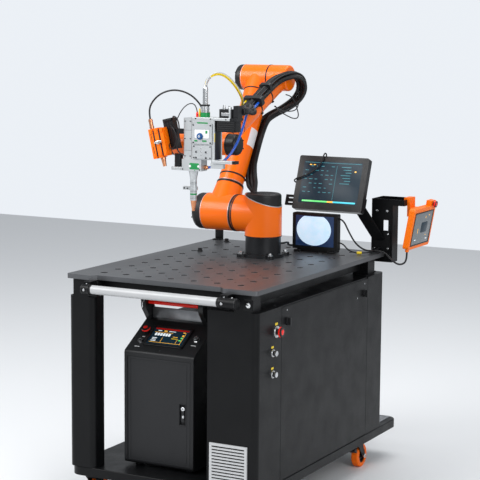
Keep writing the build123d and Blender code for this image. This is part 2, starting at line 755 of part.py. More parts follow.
# Robot base: flange with four bolt lugs, body and a connector box at the back
base = rod((ROBOT_X, ROBOT_Y, 0), (0, 0, 1), BASE_FLANGE_R, BASE_FLANGE_T)
for index in range(4):
    angle = math.radians(45 + 90 * index)
    lug_x = ROBOT_X + BASE_LUG_PCD / 2 * math.cos(angle)
    lug_y = ROBOT_Y + BASE_LUG_PCD / 2 * math.sin(angle)
    base += rod((lug_x, lug_y, 0), (0, 0, 1), BASE_LUG_R, BASE_FLANGE_T)
    web = Pos(0, 0, 0) * Box(BASE_LUG_PCD / 2, 2 * BASE_LUG_R, BASE_FLANGE_T)
    base += (
        Pos(ROBOT_X, ROBOT_Y, BASE_FLANGE_T / 2)
        * Rot(0, 0, 45 + 90 * index)
        * Pos(BASE_LUG_PCD / 4, 0, 0)
        * web
    )
    base -= rod((lug_x, lug_y, -1), (0, 0, 1), 5.5, BASE_FLANGE_T + 2)
base += rod((ROBOT_X, ROBOT_Y, BASE_FLANGE_T), (0, 0, 1), BASE_R, BASE_TOP - BASE_FLANGE_T)
base += block(
    ROBOT_X - 34, ROBOT_X + 34, ROBOT_Y + BASE_R - 20, ROBOT_Y + BASE_R + 10,
    BASE_FLANGE_T + 8, BASE_TOP - 12,
)
put("robot_base", base)

# Turret: column, stub to the shoulder joint and a slanted cap on top
column_bottom = BASE_TOP + JOINT_GAP
cap_plane_height = 400.0
column = rod((ROBOT_X, ROBOT_Y, column_bottom), (0, 0, 1), COLUMN_R, 190)
stub_length = HUB_IN - JOINT_GAP / 2
column += rod((ROBOT_X, ROBOT_Y, SHOULDER_Z), (-1, 0, 0), HUB_R, stub_length)
slanted = (
    Pos(ROBOT_X, ROBOT_Y, COLUMN_CAP_Z)
    * Rot(0, COLUMN_CAP_SLOPE, 0)
    * Pos(0, 0, cap_plane_height / 2)
    * Box(600, 600, cap_plane_height)
)
cap_body = rod((ROBOT_X, ROBOT_Y, 180), (0, 0, 1), COLUMN_R - 2, COLUMN_CAP_TOP - 180)
cap_body = fillet(cap_body.edges().sort_by(Axis.Z)[-1], 12)
for index in range(-3, 4):
    cap_body -= block(
        ROBOT_X - 52, ROBOT_X + 52,
        ROBOT_Y + 15 * index - 3, ROBOT_Y + 15 * index + 3,
        COLUMN_CAP_TOP - 4, COLUMN_CAP_TOP + 1,
    )
column -= slanted
put("column_cap", cap_body & slanted)


def on_upper_arm(along, out, behind):
    """A point beside the upper arm: along it from the shoulder, to its right and behind it."""
    back = Vector(0, math.cos(LEAN), -math.sin(LEAN))
    return J2 + UP_ARM * along + Vector(out, 0, 0) + back * behind


def on_forearm(along, out, rise):
    """A point beside the forearm: along it from the elbow, to its right and above it."""
    above = Vector(0, -math.sin(DIP), math.cos(DIP))
    return J3F + FORE * along + Vector(out, 0, 0) + above * rise


# Route of the hose sleeve: from the tool over the forearm, round the elbow and down the arm
SLEEVE_ROUTE = [
    (542, 431, 622),
    (542, 472, 622),
    (521, 520, 631),
    (495, 566, 633),
    (466, 611, 632),
    (436, 656, 628),
    (406, 704, 618),
    tuple(on_forearm(375, FORE_HOSE_OUT, FORE_HOSE_RISE)),
    tuple(on_forearm(150, FORE_HOSE_OUT, FORE_HOSE_RISE)),
    (392, 1022, 738),
    (411, 1066, 750),
    (426, 1118, 750),
    (432, 1166, 726),
    (428, 1190, 680),
    (402, 1188, 632),
    (356, 1160, 594),
    (313, 1112, 566),
    tuple(on_upper_arm(450, ARM_HOSE_OUT, ARM_HOSE_BEHIND)),
    tuple(on_upper_arm(270, ARM_HOSE_OUT, ARM_HOSE_BEHIND)),
    (306, 950, 336),
    (326, 915, 298),
    (352, 884, 264),
    (364, 866, 242),
]
strapped = 375 - 150
sleeve_tubes = hose_spans(
    SLEEVE_ROUTE,
    SLEEVE_R,
    (
        (1, 0.5),
        (3, 0.5),
        (7, (375 - CLAMP_FRONT) / strapped),
        (7, 0.86),
        (17, 0.17),
        (17, 0.8),
    ),
)
gland_end = Vector(*SLEEVE_ROUTE[-1])
gland_way = gland_end - Vector(*SLEEVE_ROUTE[-2])
column += rod(gland_end, gland_way, TURRET_GLAND_R, TURRET_GLAND_L)
put("shoulder_column", column)
put("hose_upper_arm", sleeve_tubes[5])
put("hose_shoulder", sleeve_tubes[6])
put("hose_elbow", sleeve_tubes[4])
put("hose_forearm", sleeve_tubes[3])

# Upper arm: hub on the shoulder joint, neck, tube, elbow hub and end caps
hub_x1 = ROBOT_X - HUB_IN - JOINT_GAP / 2
hub_x0 = J2.X - HUB_OUT
arm_frame = Plane(origin=J2, x_dir=(1, 0, 0), z_dir=UP_ARM)
hub = rod((hub_x1, J2.Y, J2.Z), (-1, 0, 0), HUB_R, hub_x1 - hub_x0)
neck_start = 30.0
hub += arm_frame * Pos(0, 0, (neck_start + NECK_END) / 2) * Cone(
    HUB_R - 8, UPPER_R + 3, NECK_END - neck_start
)
put("upper_arm_hub", hub)
shoulder_cap = rod((hub_x0, J2.Y, J2.Z), (-1, 0, 0), HUB_R - 1, SHOULDER_CAP_T)
shoulder_cap = fillet(shoulder_cap.edges().sort_by(Axis.X)[0], 22)
tube_end = UPPER_LENGTH - ELBOW_NECK
upper_tube = arm_frame * Pos(0, 0, (NECK_END + tube_end) / 2) * Cylinder(
    UPPER_R, tube_end - NECK_END
)
put("upper_arm_tube", upper_tube)
elbow_x1 = J3.X + ELBOW_IN - JOINT_GAP / 2
elbow_x0 = J3.X - ELBOW_OUT
elbow = rod((elbow_x1, J3.Y, J3.Z), (-1, 0, 0), ELBOW_R, elbow_x1 - elbow_x0)
elbow += arm_frame * Pos(0, 0, UPPER_LENGTH - ELBOW_NECK / 2) * Cylinder(
    UPPER_R + 1.5, ELBOW_NECK
)
put("elbow_hub", elbow)
elbow_cap = rod((elbow_x0, J3.Y, J3.Z), (-1, 0, 0), ELBOW_R - 1, ELBOW_CAP_T)
elbow_cap = fillet(elbow_cap.edges().sort_by(Axis.X)[0], 14)
put("upper_arm_caps", shoulder_cap, elbow_cap)

# Forearm: hub on the elbow joint, tube, end housing of the wrist and its cap
fore_frame = Plane(origin=J3F, x_dir=(1, 0, 0), z_dir=FORE)
fore_x0 = J3.X + ELBOW_IN + JOINT_GAP / 2
fore_x1 = J3F.X + FOREARM_HUB_OUT
fore_hub = rod((fore_x0, J3F.Y, J3F.Z), (1, 0, 0), ELBOW_R, fore_x1 - fore_x0)
fore_hub = fillet(fore_hub.edges().filter_by(GeomType.CIRCLE).sort_by(Axis.X)[-1], 10)
fore_hub += fore_frame * Pos(0, 0, FOREARM_NECK / 2) * Cylinder(FOREARM_R + 1.5, FOREARM_NECK)
put("forearm_hub", fore_hub)
fore_end = FOREARM_LENGTH - WRIST_NECK
fore_tube = fore_frame * Pos(0, 0, (FOREARM_NECK + fore_end) / 2) * Cylinder(
    FOREARM_R, fore_end - FOREARM_NECK
)
put("forearm_tube", fore_tube)
saddles = []
for middle, length, width in (
    (CLAMP_FRONT - CLAMP_L / 2, CLAMP_L, 88.0),
    (SADDLE_AT, SADDLE_L, 52.0),
):
    saddle = Box(width, 40, length)
    saddle = fillet(saddle.edges().filter_by(Axis.Z), 8)
    saddle = fore_frame * Pos(FORE_HOSE_OUT, FORE_HOSE_RISE - 2, middle) * saddle
    saddle -= fore_frame * Pos(0, 0, middle) * Cylinder(FOREARM_R + HOSE_GAP, 2 * length)
    saddle -= fore_frame * Pos(FORE_HOSE_OUT, FORE_HOSE_RISE, middle) * Cylinder(
        SLEEVE_R + HOSE_GAP, 2 * length
    )
    saddles.append(saddle)
put("forearm_saddles", *saddles)

# Thin lines of the tool: the fibre from its connector and the blue hose from the lower block
FIBRE_ROUTE = [
    (400, 376, 708),
    (400, 376, 736),
    (412, 408, 760),
    (424, 455, 764),
    (433, 504, 744),
    (440, 548, 712),
    (436, 594, 680),
    (421, 643, 653),
    (392, 692, 630),
    tuple(on_forearm(380, 0, 56)),
    tuple(on_forearm(CLAMP_FRONT, 0, 56)),
]
BLUE_ROUTE = [
    (394, 384, 400),
    (427, 384, 400),
    (462, 398, 420),
    (488, 420, 450),
    (501, 450, 494),
    (503, 486, 540),
    (495, 526, 578),
    (478, 571, 600),
    (456, 622, 604),
    (433, 678, 600),
    tuple(on_forearm(392, 56, 50)),
    tuple(on_forearm(CLAMP_FRONT, 56, 50)),
]
fibre_tubes = hose_spans(FIBRE_ROUTE, FIBRE_R, ((3, 0.5), (5, 0.5)))
blue_tubes = hose_spans(BLUE_ROUTE, BLUE_R, ((4, 0.5), (6, 0.5)))
put("tool_lines_front", sleeve_tubes[0], fibre_tubes[0], blue_tubes[0])
put("tool_lines_middle", sleeve_tubes[1], fibre_tubes[1], blue_tubes[1])
put("tool_lines_rear", sleeve_tubes[2], fibre_tubes[2], blue_tubes[2])
end_x0 = J4.X - WRIST_HALF + JOINT_GAP / 2
end_x1 = J4.X + WRIST_HALF
end_hub = rod((end_x0, J4.Y, J4.Z), (1, 0, 0), WRIST_R, end_x1 - end_x0)
end_hub += fore_frame * Pos(0, 0, FOREARM_LENGTH - WRIST_NECK / 2) * Cylinder(
    FOREARM_R + 2, WRIST_NECK
)
put("forearm_end", end_hub)
end_cap = rod((end_x1, J4.Y, J4.Z), (1, 0, 0), WRIST_R - 1, END_CAP_T)
end_cap = fillet(end_cap.edges().sort_by(Axis.X)[-1], 16)
put("forearm_end_cap", end_cap)

# Wrist housings: each a short stub from one joint and a drum on the next
wrist1_x1 = J4.X - WRIST_HALF - JOINT_GAP / 2
wrist1 = rod((wrist1_x1, J4.Y, J4.Z), (-1, 0, 0), WRIST_R, wrist1_x1 - J5.X)
wrist1 += rod(
    (J5.X, J5.Y - WRIST_HALF + JOINT_GAP / 2, J5.Z), (0, 1, 0),
    WRIST_R, 2 * WRIST_HALF - JOINT_GAP / 2,
)
put("wrist1_housing", wrist1)
wrist1_cap = rod((J5.X, J5.Y + WRIST_HALF, J5.Z), (0, 1, 0), WRIST_R - 1, WRIST_CAP_T)
wrist1_cap = fillet(wrist1_cap.edges().sort_by(Axis.Y)[-1], 14)
put("wrist1_cap", wrist1_cap)
wrist2_y1 = J5.Y - WRIST_HALF - JOINT_GAP / 2
wrist2 = rod((J6.X, wrist2_y1, J6.Z), (0, -1, 0), WRIST_R, wrist2_y1 - J6.Y)
wrist2 += rod(
    (J6.X + WRIST_HALF - JOINT_GAP / 2, J6.Y, J6.Z), (-1, 0, 0),
    WRIST_R, 2 * WRIST_HALF - JOINT_GAP / 2,
)
put("wrist2_housing", wrist2)
wrist2_cap = rod((J6.X - WRIST_HALF, J6.Y, J6.Z), (-1, 0, 0), WRIST_R - 1, WRIST_CAP_T)
wrist2_cap = fillet(wrist2_cap.edges().sort_by(Axis.X)[0], 14)
put("wrist2_cap", wrist2_cap)
flange_x0 = J6.X + WRIST_HALF + JOINT_GAP / 2
flange = rod((flange_x0, J6.Y, J6.Z), (1, 0, 0), WRIST_R - 1, 26)
flange += rod((flange_x0 + 26, J6.Y, J6.Z), (1, 0, 0), FLANGE_R, FLANGE_X - flange_x0 - 26)
put("tool_flange", flange)

# Tool bracket: a plate on the flange and a back plate that carries the head
plate_x1 = FLANGE_X + BRACKET_T
back_y1 = HEAD_Y1 + BACK_PLATE_T
flange_plate = rod((FLANGE_X, J6.Y, J6.Z), (1, 0, 0), FLANGE_R + 4, BRACKET_T)
flange_plate += block(
    FLANGE_X, plate_x1, back_y1, J6.Y, J6.Z - FLANGE_R - 4, J6.Z + FLANGE_R + 4
)
back_plate = block(SIDE_BOX_X0, HEAD_X1, HEAD_Y1, back_y1, HEAD_Z0, HEAD_Z1)
put("tool_bracket", flange_plate + back_plate)

# Welding head: main body with a raised cover, side box and lower block
head = block(HEAD_X0, HEAD_X1, HEAD_Y0 + 6, HEAD_Y1, HEAD_Z0, HEAD_Z1)
head = fillet(head.edges().filter_by(Axis.Z), 5)
cover = block(HEAD_X0 + 6, HEAD_X1 - 8, HEAD_Y0, HEAD_Y0 + 6, HEAD_Z0 + 62, HEAD_Z1 - 14)
cover = fillet(cover.edges().filter_by(Axis.Y), 6)
head += cover
head += block(HEAD_X0 + 10, HEAD_X1 - 12, HEAD_Y0 + 2, HEAD_Y0 + 6, HEAD_Z0 + 4, HEAD_Z0 + 56)
side_box = block(SIDE_BOX_X0, HEAD_X0, SIDE_BOX_Y0, HEAD_Y1, HEAD_Z0, HEAD_Z1 + 6)
side_box = fillet(side_box.edges().filter_by(Axis.Z).sort_by(Axis.X)[:2], 6)
head += side_box
lower = block(LOWER_X0, LOWER_X1, HEAD_Y0 + 8, HEAD_Y1, LOWER_Z0, HEAD_Z0)
lower = fillet(lower.edges().filter_by(Axis.Z), 4)
head += lower
put("weld_head", head)

# Nozzle tube: cone, tube and clamp ring, bored through for the beam
tube_shape = cone((NOZZLE_X, NOZZLE_Y, LOWER_Z0), (0, 0, -1), 19, NOZZLE_R, LOWER_Z0 - CONE_Z0)
tube_shape += rod((NOZZLE_X, NOZZLE_Y, CONE_Z0), (0, 0, -1), NOZZLE_R, CONE_Z0 - TUBE_Z0)
clamp_z = 322.0
tube_shape += rod((NOZZLE_X, NOZZLE_Y, clamp_z), (0, 0, -1), NOZZLE_R + 4, 13)
tube_shape += block(
    NOZZLE_X - 44, NOZZLE_X - NOZZLE_R + 1, NOZZLE_Y - 8, NOZZLE_Y + 8, clamp_z - 13, clamp_z
)
tube_shape -= rod((NOZZLE_X, NOZZLE_Y, LOWER_Z0 + 1), (0, 0, -1), 8, LOWER_Z0 - TUBE_Z0 + 2)
put("nozzle_tube", tube_shape)
tip = cone((NOZZLE_X, NOZZLE_Y, TUBE_Z0), (0, 0, -1), NOZZLE_R - 1, TIP_R, TUBE_Z0 - TIP_Z0)
tip -= rod((NOZZLE_X, NOZZLE_Y, TUBE_Z0 + 1), (0, 0, -1), TIP_BORE, TUBE_Z0 - TIP_Z0 + 2)
put("copper_nozzle", tip)

# Rails beside the head: top plate, upright, lower bar, control box and its top unit
top_z = HEAD_Z1 + TOP_PLATE_T
top_plate = block(HEAD_X0, RAIL_X1, HEAD_Y0 + 6, HEAD_Y1, HEAD_Z1, top_z)
upright = block(RAIL_X1 - 20, RAIL_X1, HEAD_Y0 + 16, HEAD_Y1 - 6, top_z, top_z + 48)
control_box = block(HEAD_X1 + 8, RAIL_X1 - 8, HEAD_Y0 + 10, HEAD_Y1 - 4, HEAD_Z1 - 44, HEAD_Z1)
for index in range(5):
    low = HEAD_Z1 - 40 + 8 * index
    control_box -= block(HEAD_X1, RAIL_X1, HEAD_Y0, HEAD_Y0 + 13, low, low + 3)
top_unit = block(HEAD_X1 + 16, RAIL_X1 - 24, HEAD_Y0 + 12, HEAD_Y1 - 8, top_z, top_z + 34)
top_unit = fillet(top_unit.edges().filter_by(Axis.Z), 6)
lower_bar = block(HEAD_X1 - 12, RAIL_X1 - 4, HEAD_Y0 + 6, HEAD_Y0 + 34, HEAD_Z0 - 12, HEAD_Z0)
lower_bar += block(HEAD_X1 - 20, HEAD_X1 + 34, HEAD_Y0 + 14, HEAD_Y0 + 34, HEAD_Z0 - 32, HEAD_Z0 - 12)
gland_start = Vector(*SLEEVE_ROUTE[0]) - Vector(0, TOOL_GLAND_L, 0)
gland = rod(gland_start, (0, 1, 0), TOOL_GLAND_R, TOOL_GLAND_L)
put("side_rails", top_plate + upright, control_box, top_unit, lower_bar, gland)

# Fibre connector on the head's top: band, ring, tube and flexible neck
band = rod((FIBRE_X, FIBRE_Y, top_z), (0, 0, 1), 18, 20)
band += rod((FIBRE_X, FIBRE_Y, top_z + 20), (0, 0, 1), 15, 24)
band += rod((FIBRE_X, FIBRE_Y, top_z + 44), (0, 0, 1), 17, 5)
band += rod((FIBRE_X, FIBRE_Y, top_z + 49), (0, 0, 1), 10, 62)
put("fibre_connector", band)

# Wire feed on the left of the head: slide, motor drum, bracket and clamp plates
slide_centre = (246, 384, 526)
feed_turn = Rot(0, -FEED_TILT, 0)
slide = Pos(*slide_centre) * feed_turn * Box(44, 34, 124)
slide += block(240, SIDE_BOX_X0, 374, 394, 528, 548)
drum_bracket = block(256, LOWER_X0, 362, 400, LOWER_Z0, LOWER_Z0 + 12)
drum = rod((278, 382, LOWER_Z0 + 12), (0, 0, 1), 17, 52)
put("wire_feed_slide", slide, drum_bracket, drum)
clamp_centre = (214, 346, 492)
clamp = Pos(*clamp_centre) * feed_turn
plates = clamp * Pos(-25, 0, 0) * Box(18, 36, 118)
plates += clamp * Pos(0, 0, 0) * Box(18, 36, 118)
plates += clamp * Pos(24, 0, 0) * Box(14, 36, 112)
plates += clamp * Pos(0, 6, 0) * Box(66, 22, 100)
plates += clamp * Pos(14, 18.85, 16) * Box(24, 3.7, 40)
put("wire_feed_clamp", plates)
feed_tube = clamp * Pos(-25, 0, 59) * Pos(0, 0, 20) * Cylinder(8, 40)
feed_tip = clamp * Pos(0, 0, -59) * Pos(0, 0, -18) * Rot(180, 0, 0) * Cone(10, 7, 36)
put("wire_nozzle", feed_tube, feed_tip)
feed_top = clamp * Pos(-25, 0, 99)
FEED_ROUTE = [
    tuple(feed_top.position),
    (160, 347, 615),
    (172, 350, 650),
    (205, 354, 682),
    (250, 358, 699),
    (296, 362, 699),
    (338, 370, 683),
    (366, 382, 655),
    (380, 392, 626),
    (380, 392, top_z),
]
put("feed_cable", *hose_spans(FEED_ROUTE, FEED_CABLE_R))

# Upper screen: housing that leans back, on a rail, an arm and the holder column
screen_frame = Plane(
    origin=((MONITOR_X0 + MONITOR_X1) / 2, MONITOR_Y, MONITOR_Z),
    x_dir=(1, 0, 0),
    z_dir=(
        0,
        -math.cos(math.radians(MONITOR_LEAN)),
        math.sin(math.radians(MONITOR_LEAN)),
    ),
)
monitor_w = MONITOR_X1 - MONITOR_X0
monitor = screen_frame * Pos(0, MONITOR_H / 2, -MONITOR_T / 2) * Box(monitor_w, MONITOR_H, MONITOR_T)
monitor = fillet(monitor.edges().filter_by(lambda e: abs((e % 0).X) < 0.01 and e.length < 40), MONITOR_R)
window_w = monitor_w - 50
window_h = MONITOR_H - 52
window = Pos(0, MONITOR_H / 2 + 3, 0) * Box(window_w, window_h, 2 * SCREEN_T)
monitor -= screen_frame * window
put("monitor_housing", monitor)
screen_a = screen_frame * Pos(0, MONITOR_H / 2 + 3, -SCREEN_T / 2) * Box(
    window_w, window_h, SCREEN_T
)
screens = [screen_a]
rail_a = screen_frame * Pos(-26, 44, -MONITOR_T - 5) * Box(monitor_w + 52, 46, 10)
for index in range(2):
    rail_a -= screen_frame * Pos(-monitor_w / 2 - 26, 34 + 20 * index, -MONITOR_T - 5) * Box(
        30, 6, 12
    )
arm_start = Vector(HOLDER_X0 + 40, TABLE_L, 46)
arm_end = Vector(screen_frame.from_local_coords(Vector(120, 44, -MONITOR_T - 10)))
arm_dir = (arm_end - arm_start).normalized()
arm_plane = Plane(origin=arm_start, x_dir=(1, 0, 0), z_dir=arm_dir)
arm_length = (arm_end - arm_start).length
arm = arm_plane * Pos(0, 0, arm_length / 2) * Box(52, 8, arm_length)
foot_plate = block(HOLDER_X0 + 8, HOLDER_X1 - 8, TABLE_L - 6, TABLE_L, 4, 92)
slanted_back = screen_frame * Pos(0, 0, -MONITOR_T - 10 + 200) * Box(1400, 1400, 400)
arm -= slanted_back
arm -= block(0, 1400, TABLE_L, TABLE_L + 200, -400, 400)
put("monitor_bracket", rail_a + arm + foot_plate)

# Lower screen: a shallow camera monitor on a low foot
camera = block(CAMERA_X0, CAMERA_X1, CAMERA_Y, CAMERA_Y + CAMERA_T, CAMERA_Z0, CAMERA_Z1)
camera = fillet(camera.edges().filter_by(Axis.Y), 4)
camera_w = CAMERA_X1 - CAMERA_X0
camera_h = CAMERA_Z1 - CAMERA_Z0
camera_x = (CAMERA_X0 + CAMERA_X1) / 2
camera_z = (CAMERA_Z0 + CAMERA_Z1) / 2
camera -= Pos(camera_x, CAMERA_Y, camera_z + 2) * Box(camera_w - 30, 2 * SCREEN_T, camera_h - 24)
camera += block(CAMERA_X0 + 20, CAMERA_X1 - 20, CAMERA_Y + 4, CAMERA_Y + 70, 0, CAMERA_Z0)
put("camera_monitor", camera)
screens.append(
    Pos(camera_x, CAMERA_Y + SCREEN_T / 2, camera_z + 2)
    * Box(camera_w - 30, SCREEN_T, camera_h - 24)
)

# Holder: folded column on the table's back edge with a tray for the pendant
holder_y0 = TABLE_L
holder_y1 = TABLE_L + HOLDER_DEPTH
holder = block(HOLDER_X0, HOLDER_X1, holder_y0, holder_y1, HOLDER_Z0, HOLDER_Z1)
holder -= block(
    HOLDER_X0 + HOLDER_SHEET, HOLDER_X1 - HOLDER_SHEET,
    holder_y0 + HOLDER_SHEET, holder_y1 + 1,
    HOLDER_Z0 - 1, HOLDER_Z1 + 1,
)
holder -= block(
    HOLDER_X1 - 20 - SLOT_W, HOLDER_X1 - 20,
    holder_y0 - 1, holder_y0 + HOLDER_SHEET + 1, 84, 84 + SLOT_H,
)
tray = block(HOLDER_X0, TRAY_X1, holder_y0, holder_y1 + 60, HOLDER_Z1, HOLDER_Z1 + TRAY_H)
tray -= block(
    HOLDER_X0 + HOLDER_SHEET, TRAY_X1 - HOLDER_SHEET,
    holder_y0 + HOLDER_SHEET, holder_y1 + 60 - HOLDER_SHEET,
    HOLDER_Z1 + HOLDER_SHEET, HOLDER_Z1 + TRAY_H + 1,
)
put("pendant_holder", holder + tray)

# Pendant: frame, grip that hooks on the tray's rim, screen and stop
lean = math.radians(PENDANT_LEAN)
pendant_frame = Plane(
    origin=(PENDANT_X, PENDANT_Y0 + PENDANT_W / 2, PENDANT_Z0),
    x_dir=(0, 1, 0),
    z_dir=(math.cos(lean), 0, -math.sin(lean)),
)
pendant = pendant_frame * Pos(0, PENDANT_H / 2, PENDANT_T / 2) * Box(PENDANT_W, PENDANT_H, PENDANT_T)
pendant = fillet(
    pendant.edges().filter_by(lambda e: abs((e % 0).Y) < 0.01 and e.length < PENDANT_T + 1),
    PENDANT_R,
)
pendant -= pendant_frame * Pos(0, PENDANT_H / 2 - 2, PENDANT_T) * Box(
    PENDANT_W - 40, PENDANT_H - 40, 2 * SCREEN_T
)
pendant += pendant_frame * Pos(PENDANT_W / 2 - 32, PENDANT_H + 8, PENDANT_T / 2) * Box(
    52, 26, PENDANT_T - 4
)
grip_y0 = PENDANT_Y0 + 60
grip_y1 = grip_y0 + 60
tray_top = HOLDER_Z1 + TRAY_H
grip_face = TRAY_X1 + HOSE_GAP
pendant += block(grip_face, grip_face + 40, grip_y0, grip_y1, HOLDER_Z1 - 46, HOLDER_Z1 - 8)
pendant += block(grip_face, grip_face + 12, grip_y0, grip_y1, HOLDER_Z1 - 46, tray_top + 8)
pendant += block(TRAY_X1 - 14, grip_face + 12, grip_y0, grip_y1, tray_top, tray_top + 8)
pendant += block(TRAY_X1 - 14, TRAY_X1 - 8, grip_y0, grip_y1, tray_top - 14, tray_top + 8)
cable_outlet = (PENDANT_X + 13, PENDANT_Y0 + 22, PENDANT_Z0 - 14)
pendant += rod(cable_outlet, (0, 0, 1), 8, 24)
put("pendant_body", pendant)
PENDANT_ROUTE = [
    cable_outlet,
    (933, 1172, -16),
    (927, 1167, -40),
    (904, 1158, -48),
    (880, 1150, -34),
    (862, 1143, -12),
    (842, 1136, 6),
    (812, 1130, 9),
    (778, 1128, 5),
]
put("pendant_cable", *hose_spans(PENDANT_ROUTE, PENDANT_CABLE_R))
screens.append(
    pendant_frame * Pos(0, PENDANT_H / 2 - 2, PENDANT_T - SCREEN_T / 2)
    * Box(PENDANT_W - 40, PENDANT_H - 40, SCREEN_T)
)
stop_base = pendant_frame * Pos(PENDANT_W / 2 - 32, PENDANT_H + 8, PENDANT_T - 2 + 4) * Cylinder(7.5, 8)
stop_head = pendant_frame * Pos(PENDANT_W / 2 - 32, PENDANT_H + 8, PENDANT_T + 6 + 4) * Cylinder(14, 8)
controls.append(stop_base + stop_head)
screens.append(
    Plane(origin=on_console(340, 98), x_dir=(1, 0, 0), z_dir=console_normal)
    * Pos(0, 0, 1.5)
    * Box(158, 96, 3)
)
put("control_buttons", *controls)
put("display_screens", *screens)
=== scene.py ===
import logging
import math
from collections.abc import Callable
from dataclasses import dataclass, field
from enum import Enum

import bpy
import numpy as np
from mathutils import Matrix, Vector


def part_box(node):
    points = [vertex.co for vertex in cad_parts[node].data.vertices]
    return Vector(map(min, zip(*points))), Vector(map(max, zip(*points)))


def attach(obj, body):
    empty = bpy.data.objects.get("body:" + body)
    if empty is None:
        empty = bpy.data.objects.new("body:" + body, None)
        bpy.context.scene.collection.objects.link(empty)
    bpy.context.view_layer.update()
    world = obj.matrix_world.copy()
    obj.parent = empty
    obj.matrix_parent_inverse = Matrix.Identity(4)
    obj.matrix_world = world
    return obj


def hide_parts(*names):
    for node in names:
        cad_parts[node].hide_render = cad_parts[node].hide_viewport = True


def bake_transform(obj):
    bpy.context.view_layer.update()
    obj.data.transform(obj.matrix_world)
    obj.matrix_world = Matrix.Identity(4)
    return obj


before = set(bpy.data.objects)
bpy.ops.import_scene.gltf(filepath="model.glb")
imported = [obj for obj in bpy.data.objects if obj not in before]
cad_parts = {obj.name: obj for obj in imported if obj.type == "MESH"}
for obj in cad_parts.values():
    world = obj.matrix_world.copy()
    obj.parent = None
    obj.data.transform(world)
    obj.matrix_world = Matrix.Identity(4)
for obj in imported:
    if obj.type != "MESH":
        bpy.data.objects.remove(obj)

log = logging.getLogger("welding_robot")
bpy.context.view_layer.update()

# Places below are millimetres from the table's front left top corner: X right, Y back, Z up.
TABLE_LOW, TABLE_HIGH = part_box("table_top")
CORNER = np.array([TABLE_LOW[0], TABLE_LOW[1], TABLE_HIGH[2]])
MM = 0.001
FULL_TURN = 2 * math.pi


def place(points: object) -> np.ndarray:
    """Table millimetres to row-frame metres: the table's corner plus a thousandth of each number."""
    return np.asarray(points, dtype=float) * MM + CORNER


def unit(vector: object) -> np.ndarray:
    """The vector divided by its length."""
    value = np.asarray(vector, dtype=float)
    return value / np.linalg.norm(value)


def distances(line: np.ndarray) -> np.ndarray:
    """How far along the line each of its points is: the running sum of its steps' lengths."""
    return np.concatenate([[0.0], np.cumsum(np.linalg.norm(np.diff(line, axis=0), axis=1))])


def tangents(line: np.ndarray) -> np.ndarray:
    """The line's direction at each of its points: its gradient divided by its length."""
    way = np.gradient(line, axis=0)
    return way / np.linalg.norm(way, axis=1)[:, None]


def circle(count: int, radius: float, first: float = 0.0) -> list:
    """Pairs radius * (cos a, sin a) at even angles from a first one in degrees."""
    turns = np.radians(first + 360.0 * np.arange(count) / count)
    return [(radius * math.cos(turn), radius * math.sin(turn)) for turn in turns]


@dataclass(frozen=True)
class Axes:
    """A local frame: its origin in table millimetres, and which way right and out point."""

    origin: tuple
    right: tuple
    out: tuple

    def matrix(self) -> np.ndarray:
        """Rows right, up and out as unit vectors."""
        out = unit(self.out)
        right = np.asarray(self.right, dtype=float)
        right = unit(right - out * right.dot(out))
        return np.array([right, np.cross(out, right), out])

    def at(self, local: object) -> np.ndarray:
        """Local right, up and out distances to table millimetres."""
        return np.asarray(local, dtype=float) @ self.matrix() + np.asarray(self.origin, dtype=float)

    def moved(self, right: float = 0.0, up: float = 0.0, out: float = 0.0) -> "Axes":
        """The same frame with its origin moved along its own axes."""
        return Axes(tuple(self.at((right, up, out))), self.right, self.out)


class Way(Enum):
    """Which way a small piece faces: its right and its out directions."""

    FRONT = ((1, 0, 0), (0, -1, 0))
    BACK = ((-1, 0, 0), (0, 1, 0))
    RIGHT = ((0, 1, 0), (1, 0, 0))
    TOP = ((1, 0, 0), (0, 0, 1))
    DOWN = ((1, 0, 0), (0, 0, -1))

    def at(self, x: float, y: float, z: float) -> Axes:
        """Axes at a point in table millimetres that face this way."""
        return Axes((x, y, z), *self.value)

    def each(self, make: Callable, x: object, y: object, z: object, *sizes: float) -> list:
        """Shells of one kind and size, one at every meeting of the given x, y and z.

        Args:
            make: the function that makes one of them from its axes and its sizes.
            x: one or several places across.
            y: one or several places in depth.
            z: one or several heights.
            *sizes: what the function takes after the axes.

        Returns:
            The shells, with z changing first and x last.
        """
        spots = [(a, b, c) for a in np.atleast_1d(x) for b in np.atleast_1d(y) for c in np.atleast_1d(z)]
        return [make(self.at(*spot), *sizes) for spot in spots]


FRONT, BACK, RIGHT, TOP, DOWN = Way


@dataclass
class Shell:
    """A surface in table millimetres: its points and its faces."""

    points: np.ndarray
    faces: list

    @staticmethod
    def joined(shells: list) -> "Shell":
        """Several shells as one, with each shell's face numbers moved past the points before it.

        Args:
            shells: the shells.

        Returns:
            One shell with all their points and faces.
        """
        points = []
        faces = []
        start = 0
        for shell in shells:
            points.append(shell.points)
            faces.extend([[start + index for index in face] for face in shell.faces])
            start += len(shell.points)
        return Shell(np.concatenate(points), faces)

    @staticmethod
    def tube(rings: object, looped: bool = False) -> "Shell":
        """Closed rings joined in order by quads: corner (r, c) to (r, c + 1), (r + 1, c + 1), (r + 1, c).

        Args:
            rings: points by ring, by place on the ring and by coordinate.
            looped: join the last ring to the first, in place of a cap on each.

        Returns:
            The closed shell.
        """
        points = np.asarray(rings, dtype=float)
        rows, columns = points.shape[:2]
        column = np.arange(columns)
        after = (column + 1) % columns
        start = np.arange(rows - 1)[:, None] * columns
        quads = np.stack([
            start + column, start + after, start + columns + after, start + columns + column,
        ], axis=-1)
        last = (rows - 1) * columns
        if looped:
            ends = np.stack([last + column, last + after, after, column], axis=-1).tolist()
        else:
            ends = [column[::-1].tolist(), (last + column).tolist()]
        return Shell(points.reshape(-1, 3), quads.reshape(-1, 4).tolist() + ends)


